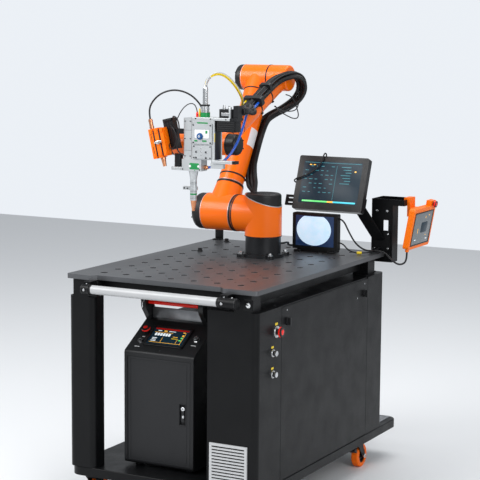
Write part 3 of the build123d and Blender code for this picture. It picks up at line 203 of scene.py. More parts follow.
def lathe(axes: Axes, profile: list, steps: int = 48, looped: bool = False) -> Shell:
    """A profile turned about the out direction.

    Formula: point(s, a) = origin + out * height(s) + radius(s) * (cos a * side + sin a * other).

    Args:
        axes: the axis's first point and its direction.
        profile: pairs of height along the axis and radius, from one end to the other.
        steps: how many columns go round.
        looped: the profile closes on itself, so that the shell has a hole along its axis.

    Returns:
        The closed shell.
    """
    axis = unit(axes.out)
    helper = np.array([0.0, 0.0, 1.0]) if abs(axis[2]) < 0.9 else np.array([1.0, 0.0, 0.0])
    side = unit(np.cross(helper, axis))
    other = np.cross(axis, side)
    height, radius = np.array(profile, dtype=float).T
    angle = np.arange(steps) * FULL_TURN / steps
    around = np.cos(angle)[:, None] * side + np.sin(angle)[:, None] * other
    centre = np.asarray(axes.origin, dtype=float) + height[:, None] * axis
    return Shell.tube(centre[:, None] + radius[:, None, None] * around, looped)


def collar(axes: Axes, radius: float, width: float, lift: float, steps: int = 64) -> Shell:
    """A flat band round a cylinder: the lathe of a rectangle from radius - lift to radius + lift.

    Args:
        axes: the band's middle and the cylinder's direction.
        radius: the cylinder's radius.
        width: the band's length along the cylinder.
        lift: how far it stands out.
        steps: how many columns go round.

    Returns:
        The closed shell.
    """
    soft = min(lift, width) * 0.35
    profile = [
        (0.0, radius - lift), (0.0, radius + lift - soft), (soft, radius + lift),
        (width - soft, radius + lift), (width, radius + lift - soft), (width, radius - lift),
    ]
    return lathe(axes.moved(out=-width / 2), profile, steps, True)


def ring(axes: Axes, inner: float, outer: float, width: float, steps: int = 32) -> Shell:
    """A flat ring that stands on a face: the lathe of its two walls and its soft outer edge."""
    soft = width * 0.3
    profile = [(0.0, inner), (0.0, outer), (width - soft, outer), (width, outer - soft), (width, inner)]
    return lathe(axes, profile, steps, True)


def dome(axes: Axes, radius: float, height: float, steps: int = 32) -> Shell:
    """A mushroom head: the lathe of a straight rim, then a quarter of an ellipse closed at its top."""
    turn = np.linspace(0.0, math.pi / 2, 8)
    profile = [(0.0, radius * 0.9), (0.0, radius)]
    profile += [(height * (0.35 + 0.65 * math.sin(t)), max(radius * math.cos(t), 0.15)) for t in turn]
    return lathe(axes, profile, steps)


def cap_screw(axes: Axes, radius: float, height: float) -> Shell:
    """A cap screw: the lathe of a chamfered head with a sunk socket."""
    profile = [
        (0.0, radius), (height * 0.85, radius), (height, radius * 0.86), (height, radius * 0.5),
        (height * 0.45, radius * 0.46),
    ]
    return lathe(axes, profile, 20)


def hex_bolt(axes: Axes, radius: float, height: float) -> Shell:
    """A six-sided head on a round washer: a lathe of six steps on one of many."""
    wide = radius * 1.35
    washer = lathe(axes, [(0.0, wide), (height * 0.2, wide), (height * 0.25, radius * 1.25)], 24)
    head = [(0.0, radius), (height * 0.7, radius), (height * 0.8, radius * 0.85)]
    return Shell.joined([washer, lathe(axes.moved(out=height * 0.2), head, 6)])


def round_outline(width: float, height: float, corner: float, steps: int = 5) -> np.ndarray:
    """Points round a rectangle, counter-clockwise: a quarter circle about each corner's centre.

    Args:
        width: the rectangle's width.
        height: its height.
        corner: the radius of its corners.
        steps: how many points each corner has.

    Returns:
        Pairs of right and up.
    """
    corner = min(corner, width / 2 - 0.01, height / 2 - 0.01)
    angle = np.linspace(0.0, math.pi / 2, steps)
    pieces = []
    for quarter, (sx, sy) in enumerate(((1, 1), (-1, 1), (-1, -1), (1, -1))):
        turn = angle + quarter * math.pi / 2
        centre = np.array([sx * (width / 2 - corner), sy * (height / 2 - corner)])
        pieces.append(centre + corner * np.stack([np.cos(turn), np.sin(turn)], axis=-1))
    return np.concatenate(pieces)


def slab(
    axes: Axes, width: float, height: float, depth: float, corner: float = 2.0, edge: float = 1.0
) -> Shell:
    """A block with round corners and soft edges, standing out from its frame's origin.

    Formula: the rounded outline is carried along out; near both ends it shrinks by
    edge * (1 - sin t), with the depth following edge * (1 - cos t).

    Args:
        axes: the middle of its back face and the way it stands out.
        width: its size to the right.
        height: its size upwards.
        depth: its size outwards.
        corner: the radius of its corners.
        edge: the radius of its edges.

    Returns:
        The closed shell.
    """
    edge = min(edge, depth / 2 - 0.001, width / 2 - 0.02, height / 2 - 0.02)
    turn = np.linspace(0.0, math.pi / 2, 4)
    inset = np.concatenate([edge * (1 - np.sin(turn)), edge * (1 - np.sin(turn[::-1]))])
    level = np.concatenate([edge * (1 - np.cos(turn)), depth - edge * (1 - np.cos(turn[::-1]))])
    rings = []
    for shrink, out in zip(inset, level):
        outline = round_outline(width - 2 * shrink, height - 2 * shrink, max(corner - shrink, 0.05))
        rings.append(axes.at(np.column_stack([outline, np.full(len(outline), out)])))
    return Shell.tube(rings)


def four_bars(
    face: Axes, across: float, up: float, wide: float, tall: float, bar: float, *sizes: float
) -> list:
    """A rectangular rim of four slabs.

    Args:
        face: the rim's middle and the way it faces.
        across: from the middle to an upright bar.
        up: from the middle to a level bar.
        wide: the level bars' length.
        tall: the upright bars' length.
        bar: how wide each bar is.
        *sizes: the slabs' depth, corner and edge.

    Returns:
        The four slabs: upper, lower, left and right.
    """
    level = [slab(face.moved(0, way * up), wide, bar, *sizes) for way in (1, -1)]
    return level + [slab(face.moved(way * across), bar, tall, *sizes) for way in (-1, 1)]


def along_route(line: np.ndarray, radii: np.ndarray, sides: int = 14) -> Shell:
    """A round section carried along a line.

    Formula: point(s, a) = line(s) + radius(s) * (cos a * normal(s) + sin a * binormal(s)), where the
    normal is turned from station to station only as far as the line turns.

    Args:
        line: the stations.
        radii: the section's radius at each station.
        sides: how many points go round.

    Returns:
        The closed shell.
    """
    tangent = tangents(line)
    helper = np.eye(3)[np.argmin(np.abs(tangent[0]))]
    normal = unit(np.cross(tangent[0], helper))
    normals = []
    for way in tangent:
        normal = unit(normal - way * normal.dot(way))
        normals.append(normal)
    normals = np.array(normals)[:, None]
    binormals = np.cross(tangent, normals[:, 0])[:, None]
    angle = (np.arange(sides) * FULL_TURN / sides)[None, :, None]
    around = np.cos(angle) * normals + np.sin(angle) * binormals
    return Shell.tube(line[:, None] + radii[:, None, None] * around)


def wrapped(on_tube: Callable, radius: float, lift: float, reach: tuple, turn: tuple) -> Shell:
    """A plate wrapped on a tube: a closed shell between two radii, two places along and two angles.

    Args:
        on_tube: gives the point for a distance along the tube, one out and one behind it.
        radius: the tube's radius.
        lift: the plate's thickness.
        reach: where it starts and ends along the tube.
        turn: its first and last angle in degrees, from out towards behind.

    Returns:
        The closed shell.
    """
    angle = np.radians(np.linspace(turn[0], turn[1], 12))
    loop = [(reach[0], radius), (reach[1], radius), (reach[1], radius + lift), (reach[0], radius + lift)]
    return Shell.tube([[on_tube(s, r * math.cos(a), r * math.sin(a)) for s, r in loop] for a in angle])


class NodeBoard:
    """A node tree whose nodes are added and linked by short labels."""

    def __init__(self, tree: bpy.types.NodeTree) -> None:
        """Starts on a tree with no labels."""
        self.tree = tree
        self.nodes: dict = {}

    def add(self, label: str, kind: str, values: dict | None = None, **settings: object) -> None:
        """Adds a node.

        Args:
            label: its name in the rows of links.
            kind: its type, without the word that all shader nodes begin with.
            values: its input sockets' values.
            **settings: its own settings, such as a math node's operation.
        """
        node = self.tree.nodes.new(f"ShaderNode{kind}")
        for name, setting in settings.items():
            setattr(node, name, setting)
        for socket, value in (values or {}).items():
            node.inputs[socket].default_value = value
        self.nodes[label] = node

    def link(self, *rows: tuple) -> None:
        """Links sockets: each row names a node and its output, then a node and its input."""
        for source, output, sink, socket in rows:
            self.tree.links.new(self.nodes[source].outputs[output], self.nodes[sink].inputs[socket])


class ShaderEffects:
    """Node groups that every finish uses, each built once."""

    def __init__(self) -> None:
        """Builds the groups."""
        self.groups = {"tone": self._tone(), "smudge": self._smudge(), "grain": self._grain()}

    @staticmethod
    def _board(name: str, inputs: dict, output: str, kind: str) -> NodeBoard:
        """A new group's board, with its input node labelled in and its output node labelled out.

        Args:
            name: the group's name.
            inputs: each input socket's name and type.
            output: the output socket's name.
            kind: the output socket's type.

        Returns:
            The board.
        """
        tree = bpy.data.node_groups.new(name, "ShaderNodeTree")
        for label, sort in inputs.items():
            tree.interface.new_socket(name=label, in_out="INPUT", socket_type=f"NodeSocket{sort}")
        tree.interface.new_socket(name=output, in_out="OUTPUT", socket_type=f"NodeSocket{kind}")
        board = NodeBoard(tree)
        board.nodes["in"] = tree.nodes.new("NodeGroupInput")
        board.nodes["out"] = tree.nodes.new("NodeGroupOutput")
        return board

    def _tone(self) -> bpy.types.NodeTree:
        """Colour that drifts a little over the surface: base towards worn by a soft noise."""
        sockets = {
            "Vector": "Vector", "Base": "Color", "Worn": "Color", "Scale": "Float", "Amount": "Float",
        }
        board = self._board("drifting_tone", sockets, "Color", "Color")
        board.add("noise", "TexNoise", {"Detail": 5.0, "Roughness": 0.6})
        board.add("ramp", "MapRange", {"From Min": 0.35, "From Max": 0.75})
        board.add("product", "Math", operation="MULTIPLY")
        board.add("mix", "Mix", data_type="RGBA")
        board.link(
            ("in", "Vector", "noise", "Vector"), ("in", "Scale", "noise", "Scale"),
            ("noise", "Fac", "ramp", "Value"), ("ramp", "Result", "product", 0),
            ("in", "Amount", "product", 1), ("product", "Value", "mix", "Factor"),
            ("in", "Base", "mix", "A"), ("in", "Worn", "mix", "B"), ("mix", "Result", "out", "Color"),
        )
        return board.tree

    def _smudge(self) -> bpy.types.NodeTree:
        """Roughness that rises and falls with wiped marks: a noise mapped between two values."""
        sockets = {"Vector": "Vector", "Scale": "Float", "Low": "Float", "High": "Float"}
        board = self._board("wiped_roughness", sockets, "Roughness", "Float")
        board.add("noise", "TexNoise", {"Detail": 6.0})
        board.add("ramp", "MapRange", {"From Min": 0.3, "From Max": 0.7})
        board.link(
            ("in", "Vector", "noise", "Vector"), ("in", "Scale", "noise", "Scale"),
            ("noise", "Fac", "ramp", "Value"), ("in", "Low", "ramp", "To Min"),
            ("in", "High", "ramp", "To Max"), ("ramp", "Result", "out", "Roughness"),
        )
        return board.tree

    def _grain(self) -> bpy.types.NodeTree:
        """Height of a fine grain: noise at one scale plus half as much at three times that scale."""
        board = self._board("fine_grain", {"Vector": "Vector", "Scale": "Float"}, "Height", "Float")
        board.add("coarse", "TexNoise")
        board.add("fine", "TexNoise")
        board.add("triple", "Math", {1: 3.0}, operation="MULTIPLY")
        board.add("total", "Math", {1: 0.5}, operation="MULTIPLY_ADD")
        board.link(
            ("in", "Vector", "coarse", "Vector"), ("in", "Vector", "fine", "Vector"),
            ("in", "Scale", "coarse", "Scale"), ("in", "Scale", "triple", 0),
            ("triple", "Value", "fine", "Scale"), ("fine", "Fac", "total", 0),
            ("coarse", "Fac", "total", 2), ("total", "Value", "out", "Height"),
        )
        return board.tree


@dataclass(frozen=True)
class Finish:
    """How a surface is made: its colours, its lowest and highest roughness, and its grain.

    tone and grain are each a scale and an amount; stretch scales the pattern along each axis.
    """

    name: str
    colour: tuple
    worn: tuple
    low: float
    high: float
    metallic: float = 0.0
    tone: tuple = (6.0, 0.5)
    smudge_scale: float = 12.0
    grain: tuple = (900.0, 0.02)
    stretch: tuple = (1.0, 1.0, 1.0)
    coat: float = 0.0
    glow: float = 0.0
    specular: float = 0.5

    def build(self, effects: ShaderEffects) -> bpy.types.Material:
        """Makes the material from the shared groups and a Principled shader.

        Args:
            effects: the shared groups.

        Returns:
            The material.
        """
        material = bpy.data.materials.new(self.name)
        material.use_nodes = True
        board = NodeBoard(material.node_tree)
        shader = material.node_tree.nodes["Principled BSDF"]
        board.nodes["shader"] = shader
        shader.inputs["Metallic"].default_value = self.metallic
        shader.inputs["Specular IOR Level"].default_value = self.specular
        board.add("coordinates", "TexCoord")
        board.add("mapping", "Mapping", {"Scale": self.stretch})
        board.link(("coordinates", "Object", "mapping", "Vector"))
        for label, values in {
            "tone": {
                "Base": (*self.colour, 1.0), "Worn": (*self.worn, 1.0),
                "Scale": self.tone[0], "Amount": self.tone[1],
            },
            "smudge": {"Scale": self.smudge_scale, "Low": self.low, "High": self.high},
            "grain": {"Scale": self.grain[0]},
        }.items():
            board.add(label, "Group", values, node_tree=effects.groups[label])
            board.link(("mapping", "Vector", label, "Vector"))
        board.add("bump", "Bump", {"Strength": self.grain[1] * 10, "Distance": 0.0004})
        board.link(
            ("tone", "Color", "shader", "Base Color"), ("smudge", "Roughness", "shader", "Roughness"),
            ("grain", "Height", "bump", "Height"), ("bump", "Normal", "shader", "Normal"),
        )
        if self.coat:
            shader.inputs["Coat Weight"].default_value = self.coat
            shader.inputs["Coat Roughness"].default_value = 0.08
        if self.glow:
            board.link(("tone", "Color", "shader", "Emission Color"))
            shader.inputs["Emission Strength"].default_value = self.glow
        return material


# The scale and the depth of the grain on smooth surfaces.
NO_GRAIN = (900.0, 0.0)
PRINT_GRAIN = (900.0, 0.004)
FAINT_GRAIN = (900.0, 0.01)


class Look(Enum):
    """Every finish of the machine."""

    TABLE = Finish(
        "dark_ground_steel", (0.115, 0.118, 0.125), (0.19, 0.194, 0.202), 0.34, 0.48, metallic=0.85,
        tone=(3.0, 0.5), smudge_scale=5.0, grain=(260.0, 0.012), stretch=(1.0, 0.25, 1.0),
    )
    BLACK_PAINT = Finish(
        "black_powder_coat", (0.0036, 0.0038, 0.0043), (0.008, 0.0083, 0.0091), 0.3, 0.44,
        grain=(1500.0, 0.03), specular=0.16,
    )
    BLACK_COVER = Finish(
        "black_moulded_cover", (0.008, 0.0082, 0.009), (0.018, 0.0185, 0.02), 0.33, 0.5,
        grain=(1200.0, 0.03), specular=0.35,
    )
    ORANGE = Finish(
        "robot_orange_paint", (1.0, 0.17, 0.0), (0.94, 0.145, 0.0), 0.28, 0.4, tone=(4.0, 0.5),
        grain=(420.0, 0.014), coat=0.1, specular=0.32,
    )
    SILVER = Finish(
        "satin_anodised_silver", (0.62, 0.64, 0.65), (0.5, 0.52, 0.53), 0.3, 0.45, metallic=0.75,
        grain=(1400.0, 0.02),
    )
    BRIGHT = Finish(
        "bright_plated_steel", (0.66, 0.67, 0.68), (0.5, 0.5, 0.5), 0.16, 0.3, metallic=1.0,
        grain=(800.0, 0.008),
    )
    DARK_METAL = Finish(
        "black_anodised_metal", (0.016, 0.0165, 0.018), (0.034, 0.035, 0.038), 0.28, 0.42, metallic=0.6,
        grain=(1400.0, 0.015),
    )
    COPPER = Finish(
        "bare_copper", (0.75, 0.33, 0.17), (0.5, 0.2, 0.1), 0.2, 0.38, metallic=1.0, tone=(60.0, 0.5),
        grain=FAINT_GRAIN,
    )
    HANDLE = Finish(
        "pale_powder_coat", (0.46, 0.465, 0.47), (0.4, 0.405, 0.41), 0.32, 0.45, metallic=0.1,
        grain=(1300.0, 0.012), specular=0.3,
    )
    VENT = Finish(
        "white_moulding", (0.5, 0.505, 0.51), (0.42, 0.425, 0.43), 0.42, 0.54, grain=FAINT_GRAIN,
        specular=0.3,
    )
    TREAD = Finish(
        "grey_tread_plate", (0.3, 0.31, 0.33), (0.2, 0.21, 0.22), 0.4, 0.6, metallic=0.5,
        tone=(20.0, 0.5), grain=(300.0, 0.05),
    )
    TYRE = Finish(
        "orange_polyurethane", (0.98, 0.16, 0.0), (0.78, 0.12, 0.0), 0.42, 0.56, tone=(30.0, 0.5),
        grain=(700.0, 0.02), specular=0.3,
    )
    SOURCE = Finish(
        "anthracite_texture_paint", (0.009, 0.0095, 0.0105), (0.016, 0.0165, 0.018), 0.36, 0.5,
        grain=(1100.0, 0.06), specular=0.3,
    )
    SOURCE_DOOR = Finish(
        "anthracite_door_paint", (0.013, 0.0135, 0.015), (0.02, 0.0205, 0.022), 0.36, 0.5,
        grain=(1100.0, 0.06), specular=0.3,
    )
    RED = Finish(
        "glossy_red", (0.92, 0.012, 0.003), (0.75, 0.009, 0.003), 0.24, 0.36, grain=PRINT_GRAIN,
        coat=0.1, specular=0.35,
    )
    HOUSING = Finish(
        "black_screen_housing", (0.007, 0.0073, 0.008), (0.014, 0.0145, 0.016), 0.28, 0.4,
        grain=(1400.0, 0.02), specular=0.3,
    )
    PANEL = Finish(
        "dark_display_glass", (0.004, 0.014, 0.024), (0.006, 0.024, 0.04), 0.16, 0.24, tone=(3.0, 0.5),
        grain=NO_GRAIN, glow=0.6, specular=0.18,
    )
    PENDANT = Finish(
        "pendant_orange", (1.0, 0.185, 0.0), (0.88, 0.15, 0.0), 0.34, 0.46, grain=(1100.0, 0.03),
        specular=0.3,
    )
    CONDUIT = Finish(
        "black_corrugated_conduit", (0.008, 0.008, 0.009), (0.018, 0.018, 0.02), 0.34, 0.5,
        tone=(40.0, 0.5), grain=FAINT_GRAIN, specular=0.4,
    )
    YELLOW_LINE = Finish(
        "yellow_fibre_jacket", (0.95, 0.68, 0.0), (0.85, 0.58, 0.0), 0.3, 0.45, tone=(40.0, 0.5),
        grain=FAINT_GRAIN,
    )
    BLUE_LINE = Finish(
        "blue_gas_hose", (0.01, 0.1, 0.55), (0.01, 0.07, 0.4), 0.22, 0.34, tone=(40.0, 0.5),
        grain=FAINT_GRAIN, coat=0.3,
    )
    CLEAR_LINE = Finish("milky_tube", (0.62, 0.64, 0.66), (0.5, 0.52, 0.54), 0.2, 0.3, tone=(40.0, 0.5))
    WHITE = Finish("white_print", (0.8, 0.81, 0.82), (0.72, 0.73, 0.74), 0.35, 0.5, grain=PRINT_GRAIN)
    YELLOW = Finish("yellow_plate", (0.85, 0.62, 0.02), (0.75, 0.52, 0.02), 0.35, 0.5, grain=PRINT_GRAIN)
    GREEN = Finish("green_mark", (0.004, 0.25, 0.06), (0.004, 0.2, 0.05), 0.3, 0.45, grain=PRINT_GRAIN)
    BLUE = Finish("blue_knob", (0.003, 0.075, 0.24), (0.003, 0.06, 0.2), 0.35, 0.45, specular=0.3)
    # Painted shade: near-black laid in holes, slots and recesses in place of their shaded insides.
    HOLE_SHADE = Finish(
        "shadowed_hole_shade", (0.004, 0.004, 0.005), (0.006, 0.006, 0.007), 0.6, 0.8, grain=NO_GRAIN,
    )
    RIM = Finish(
        "worn_steel_rim", (0.22, 0.225, 0.235), (0.34, 0.345, 0.35), 0.25, 0.4, metallic=0.9,
        tone=(30.0, 0.5), grain=(900.0, 0.006),
    )
    SEAM = Finish(
        "pale_seam_ring", (0.55, 0.56, 0.57), (0.42, 0.43, 0.44), 0.3, 0.45, metallic=0.6,
        grain=(900.0, 0.006),
    )
    LAMP_CYAN = Finish(
        "lit_cyan", (0.05, 0.5, 0.62), (0.04, 0.4, 0.55), 0.2, 0.3, grain=NO_GRAIN, glow=0.8,
    )
    LAMP_GREEN = Finish(
        "lit_green", (0.1, 0.6, 0.15), (0.08, 0.5, 0.12), 0.2, 0.3, grain=NO_GRAIN, glow=0.8,
    )
    LAMP_AMBER = Finish(
        "lit_amber", (0.85, 0.45, 0.05), (0.75, 0.38, 0.04), 0.2, 0.3, grain=NO_GRAIN, glow=0.8,
    )
    LAMP_WHITE = Finish(
        "lit_white", (0.75, 0.82, 0.86), (0.68, 0.76, 0.82), 0.2, 0.3, grain=NO_GRAIN, glow=0.7,
    )
    LAMP_SKY = Finish(
        "lit_pale_blue", (0.5, 0.68, 0.85), (0.68, 0.82, 0.94), 0.2, 0.3, tone=(22.0, 0.8),
        grain=NO_GRAIN, glow=0.6,
    )
    LAMP_NAVY = Finish(
        "lit_navy", (0.012, 0.03, 0.09), (0.018, 0.045, 0.12), 0.12, 0.2, grain=NO_GRAIN, glow=0.35,
    )
    GREY_GLASS = Finish(
        "grey_touch_glass", (0.13, 0.145, 0.155), (0.18, 0.19, 0.2), 0.14, 0.22, grain=NO_GRAIN,
        glow=0.25, specular=0.3,
    )
    TEAL_PRINT = Finish(
        "lit_teal", (0.03, 0.2, 0.24), (0.02, 0.14, 0.18), 0.3, 0.4, grain=NO_GRAIN, glow=0.7,
    )


class Workshop:
    """Makes finishes once and turns shells into pieces that ride on a body."""

    def __init__(self) -> None:
        """Builds the shared effects and an empty store of materials."""
        self.effects = ShaderEffects()
        self.materials: dict = {}

    def material(self, look: Look) -> bpy.types.Material:
        """The material of a finish, built the first time it is asked for."""
        if look not in self.materials:
            self.materials[look] = look.value.build(self.effects)
        return self.materials[look]

    def dress(self, node: str, look: Look) -> None:
        """Gives a frame node its finish."""
        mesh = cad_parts[node].data
        mesh.materials.clear()
        mesh.materials.append(self.material(look))

    def object(self, name: str, shells: list, look: Look, smooth: float = 35.0) -> bpy.types.Object:
        """A mesh object from shells, shaded smooth up to an angle in degrees.

        Args:
            name: the piece's name.
            shells: the shells that it is made of.
            look: its finish.
            smooth: edges sharper than this stay crisp.

        Returns:
            The object, at the world's origin.
        """
        shell = Shell.joined(shells)
        mesh = bpy.data.meshes.new(name)
        mesh.from_pydata(place(shell.points).tolist(), [], shell.faces)
        mesh.validate()
        mesh.shade_smooth()
        mesh.set_sharp_from_angle(angle=math.radians(smooth))
        mesh.materials.append(self.material(look))
        piece = bpy.data.objects.new(name, mesh)
        bpy.context.scene.collection.objects.link(piece)
        return piece


@dataclass
class Studio:
    """Floor, lamps, world and the camera at the photograph's place."""

    eye: tuple = (3415.6, -4976.1, 949.9)
    yaw: float = -28.105
    pitch: float = -7.741
    roll: float = 0.429
    lens: float = 118.05
    sensor: float = 36.0
    floor_size: float = 14.0
    aim_height: float = 1.0

    def build(self) -> None:
        """Makes the camera, then the floor, lamps and world."""
        self._camera()
        self._floor()
        self._lamp("key_lamp", (-2.6, -3.6, 4.4), 3.2, 230.0)
        self._lamp("fill_lamp", (4.4, -3.4, 3.0), 3.0, 120.0)
        self._lamp("top_lamp", (0.4, 1.2, 5.2), 3.6, 120.0)
        self._world()
        bpy.context.scene.view_settings.view_transform = "Standard"

    @staticmethod
    def _put(name: str, data: bpy.types.ID, columns: list, spot: object) -> bpy.types.Object:
        """Puts a camera or lamp in the scene.

        Args:
            name: the object's name.
            data: its camera or lamp data.
            columns: where its right, up and back point.
            spot: where it stands, in metres.

        Returns:
            The object.
        """
        made = bpy.data.objects.new(name, data)
        matrix = Matrix(np.column_stack(columns).tolist()).to_4x4()
        matrix.translation = spot
        made.matrix_world = matrix
        bpy.context.scene.collection.objects.link(made)
        return made

    def _camera(self) -> None:
        """Looks along yaw and pitch, then rolls about the line of sight."""
        yaw, pitch, roll = (math.radians(value) for value in (self.yaw, self.pitch, self.roll))
        level_reach = math.cos(pitch)
        forward = np.array([math.sin(yaw) * level_reach, math.cos(yaw) * level_reach, math.sin(pitch)])
        level = np.array([math.cos(yaw), -math.sin(yaw), 0.0])
        upright = np.cross(level, forward)
        right = level * math.cos(roll) + upright * math.sin(roll)
        up = upright * math.cos(roll) - level * math.sin(roll)
        data = bpy.data.cameras.new("camera")
        data.lens = self.lens
        data.sensor_width = self.sensor
        data.sensor_fit = "HORIZONTAL"
        camera = self._put("camera", data, [right, up, -forward], place(self.eye).tolist())
        bpy.context.scene.camera = camera

    def _floor(self) -> None:
        """A plain pale floor under the castors."""
        half = self.floor_size / 2
        mesh = bpy.data.meshes.new("studio_floor")
        corners = [(-half, -half, 0.0), (half, -half, 0.0), (half, half, 0.0), (-half, half, 0.0)]
        mesh.from_pydata(corners, [], [[0, 1, 2, 3]])
        material = bpy.data.materials.new("studio_floor")
        material.use_nodes = True
        shader = material.node_tree.nodes["Principled BSDF"]
        shader.inputs["Base Color"].default_value = (0.8, 0.81, 0.82, 1.0)
        shader.inputs["Roughness"].default_value = 0.7
        mesh.materials.append(material)
        floor = bpy.data.objects.new("studio_floor", mesh)
        bpy.context.scene.collection.objects.link(floor)

    def _lamp(self, name: str, spot: tuple, size: float, power: float) -> None:
        """A square soft lamp aimed at the middle of the machine.

        Args:
            name: the lamp's name.
            spot: where it stands, in metres.
            size: its side in metres.
            power: its power in watts.
        """
        data = bpy.data.lights.new(name, "AREA")
        data.size = size
        data.energy = power
        aim = unit(np.array([0.0, 0.0, self.aim_height]) - np.array(spot))
        side = unit(np.cross(aim, (0.0, 0.0, 1.0)))
        self._put(name, data, [side, np.cross(side, aim), -aim], spot)

    @staticmethod
    def _world() -> None:
        """A pale sky that the camera sees, dimmer where it lights the machine."""
        world = bpy.data.worlds.new("studio_world")
        bpy.context.scene.world = world
        world.use_nodes = True
        board = NodeBoard(world.node_tree)
        board.nodes["back"] = world.node_tree.nodes["Background"]
        board.nodes["back"].inputs["Color"].default_value = (0.88, 0.92, 0.97, 1.0)
        board.add("path", "LightPath")
        board.add("clear", "Math", operation="MAXIMUM")
        board.add("level", "MapRange", {"To Min": 0.55, "To Max": 0.95})
        board.link(
            ("path", "Is Camera Ray", "clear", 0), ("path", "Is Transmission Ray", "clear", 1),
            ("clear", "Value", "level", "Value"), ("level", "Result", "back", "Strength"),
        )


@dataclass
class ArmShape:
    """Joint centres of the arm, from its link lengths and the lean of its two long links."""

    base: tuple = (440.0, 800.0)
    shoulder_height: float = 174.0
    shoulder_offset: float = 193.0
    upper: float = 647.0
    lean: float = 31.0
    elbow_offset: float = 103.0
    fore: float = 600.5
    dip: float = 24.8

    def __post_init__(self) -> None:
        """Works out the centres and the directions."""
        lean, dip = math.radians(self.lean), math.radians(self.dip)
        self.east = np.array([1.0, 0.0, 0.0])
        self.up_way = np.array([0.0, math.sin(lean), math.cos(lean)])
        self.behind_way = np.array([0.0, math.cos(lean), -math.sin(lean)])
        self.fore_way = np.array([0.0, -math.cos(dip), -math.sin(dip)])
        self.rise_way = np.array([0.0, -math.sin(dip), math.cos(dip)])
        self.shoulder = np.array([self.base[0] - self.shoulder_offset, self.base[1], self.shoulder_height])
        self.elbow = self.shoulder + self.up_way * self.upper
        self.elbow_fore = self.elbow + self.east * self.elbow_offset
        self.wrist = self.elbow_fore + self.fore_way * self.fore

    def on_upper(self, along: float, out: float, behind: float) -> tuple:
        """A point beside the upper arm."""
        return tuple(self.shoulder + self.up_way * along + self.east * out + self.behind_way * behind)

    def on_fore(self, along: float, out: float, rise: float) -> tuple:
        """A point beside the forearm."""
        return tuple(self.elbow_fore + self.fore_way * along + self.east * out + self.rise_way * rise)

    def upper_axes(self, along: float) -> Axes:
        """Axes on the upper arm's middle line, facing along it."""
        return Axes(self.on_upper(along, 0, 0), tuple(self.east), tuple(self.up_way))

    def fore_axes(self, along: float) -> Axes:
        """Axes on the forearm's middle line, facing along it."""
        return Axes(self.on_fore(along, 0, 0), tuple(self.east), tuple(self.fore_way))

    def beside(self, centre: np.ndarray, out: float) -> Axes:
        """Axes at a distance beside a joint's centre, facing right."""
        return RIGHT.at(*(centre + self.east * out))


@dataclass
class Span:
    """One stretch of a hose: the node that it stands for and the bodies at its two ends."""

    name: str
    node: str
    bodies: tuple
    free: bool = True
    from_far_end: bool = False
    carries: tuple = ()


@dataclass
class Strand:
    """One line of a bundle: how it differs from the bundle's middle line."""

    prefix: str
    radius: float
    look: Look
    out: float = 0.0
    rise: float = 0.0
    rib_pitch: float = 0.0
    rib_depth: float = 0.0
    main: bool = True


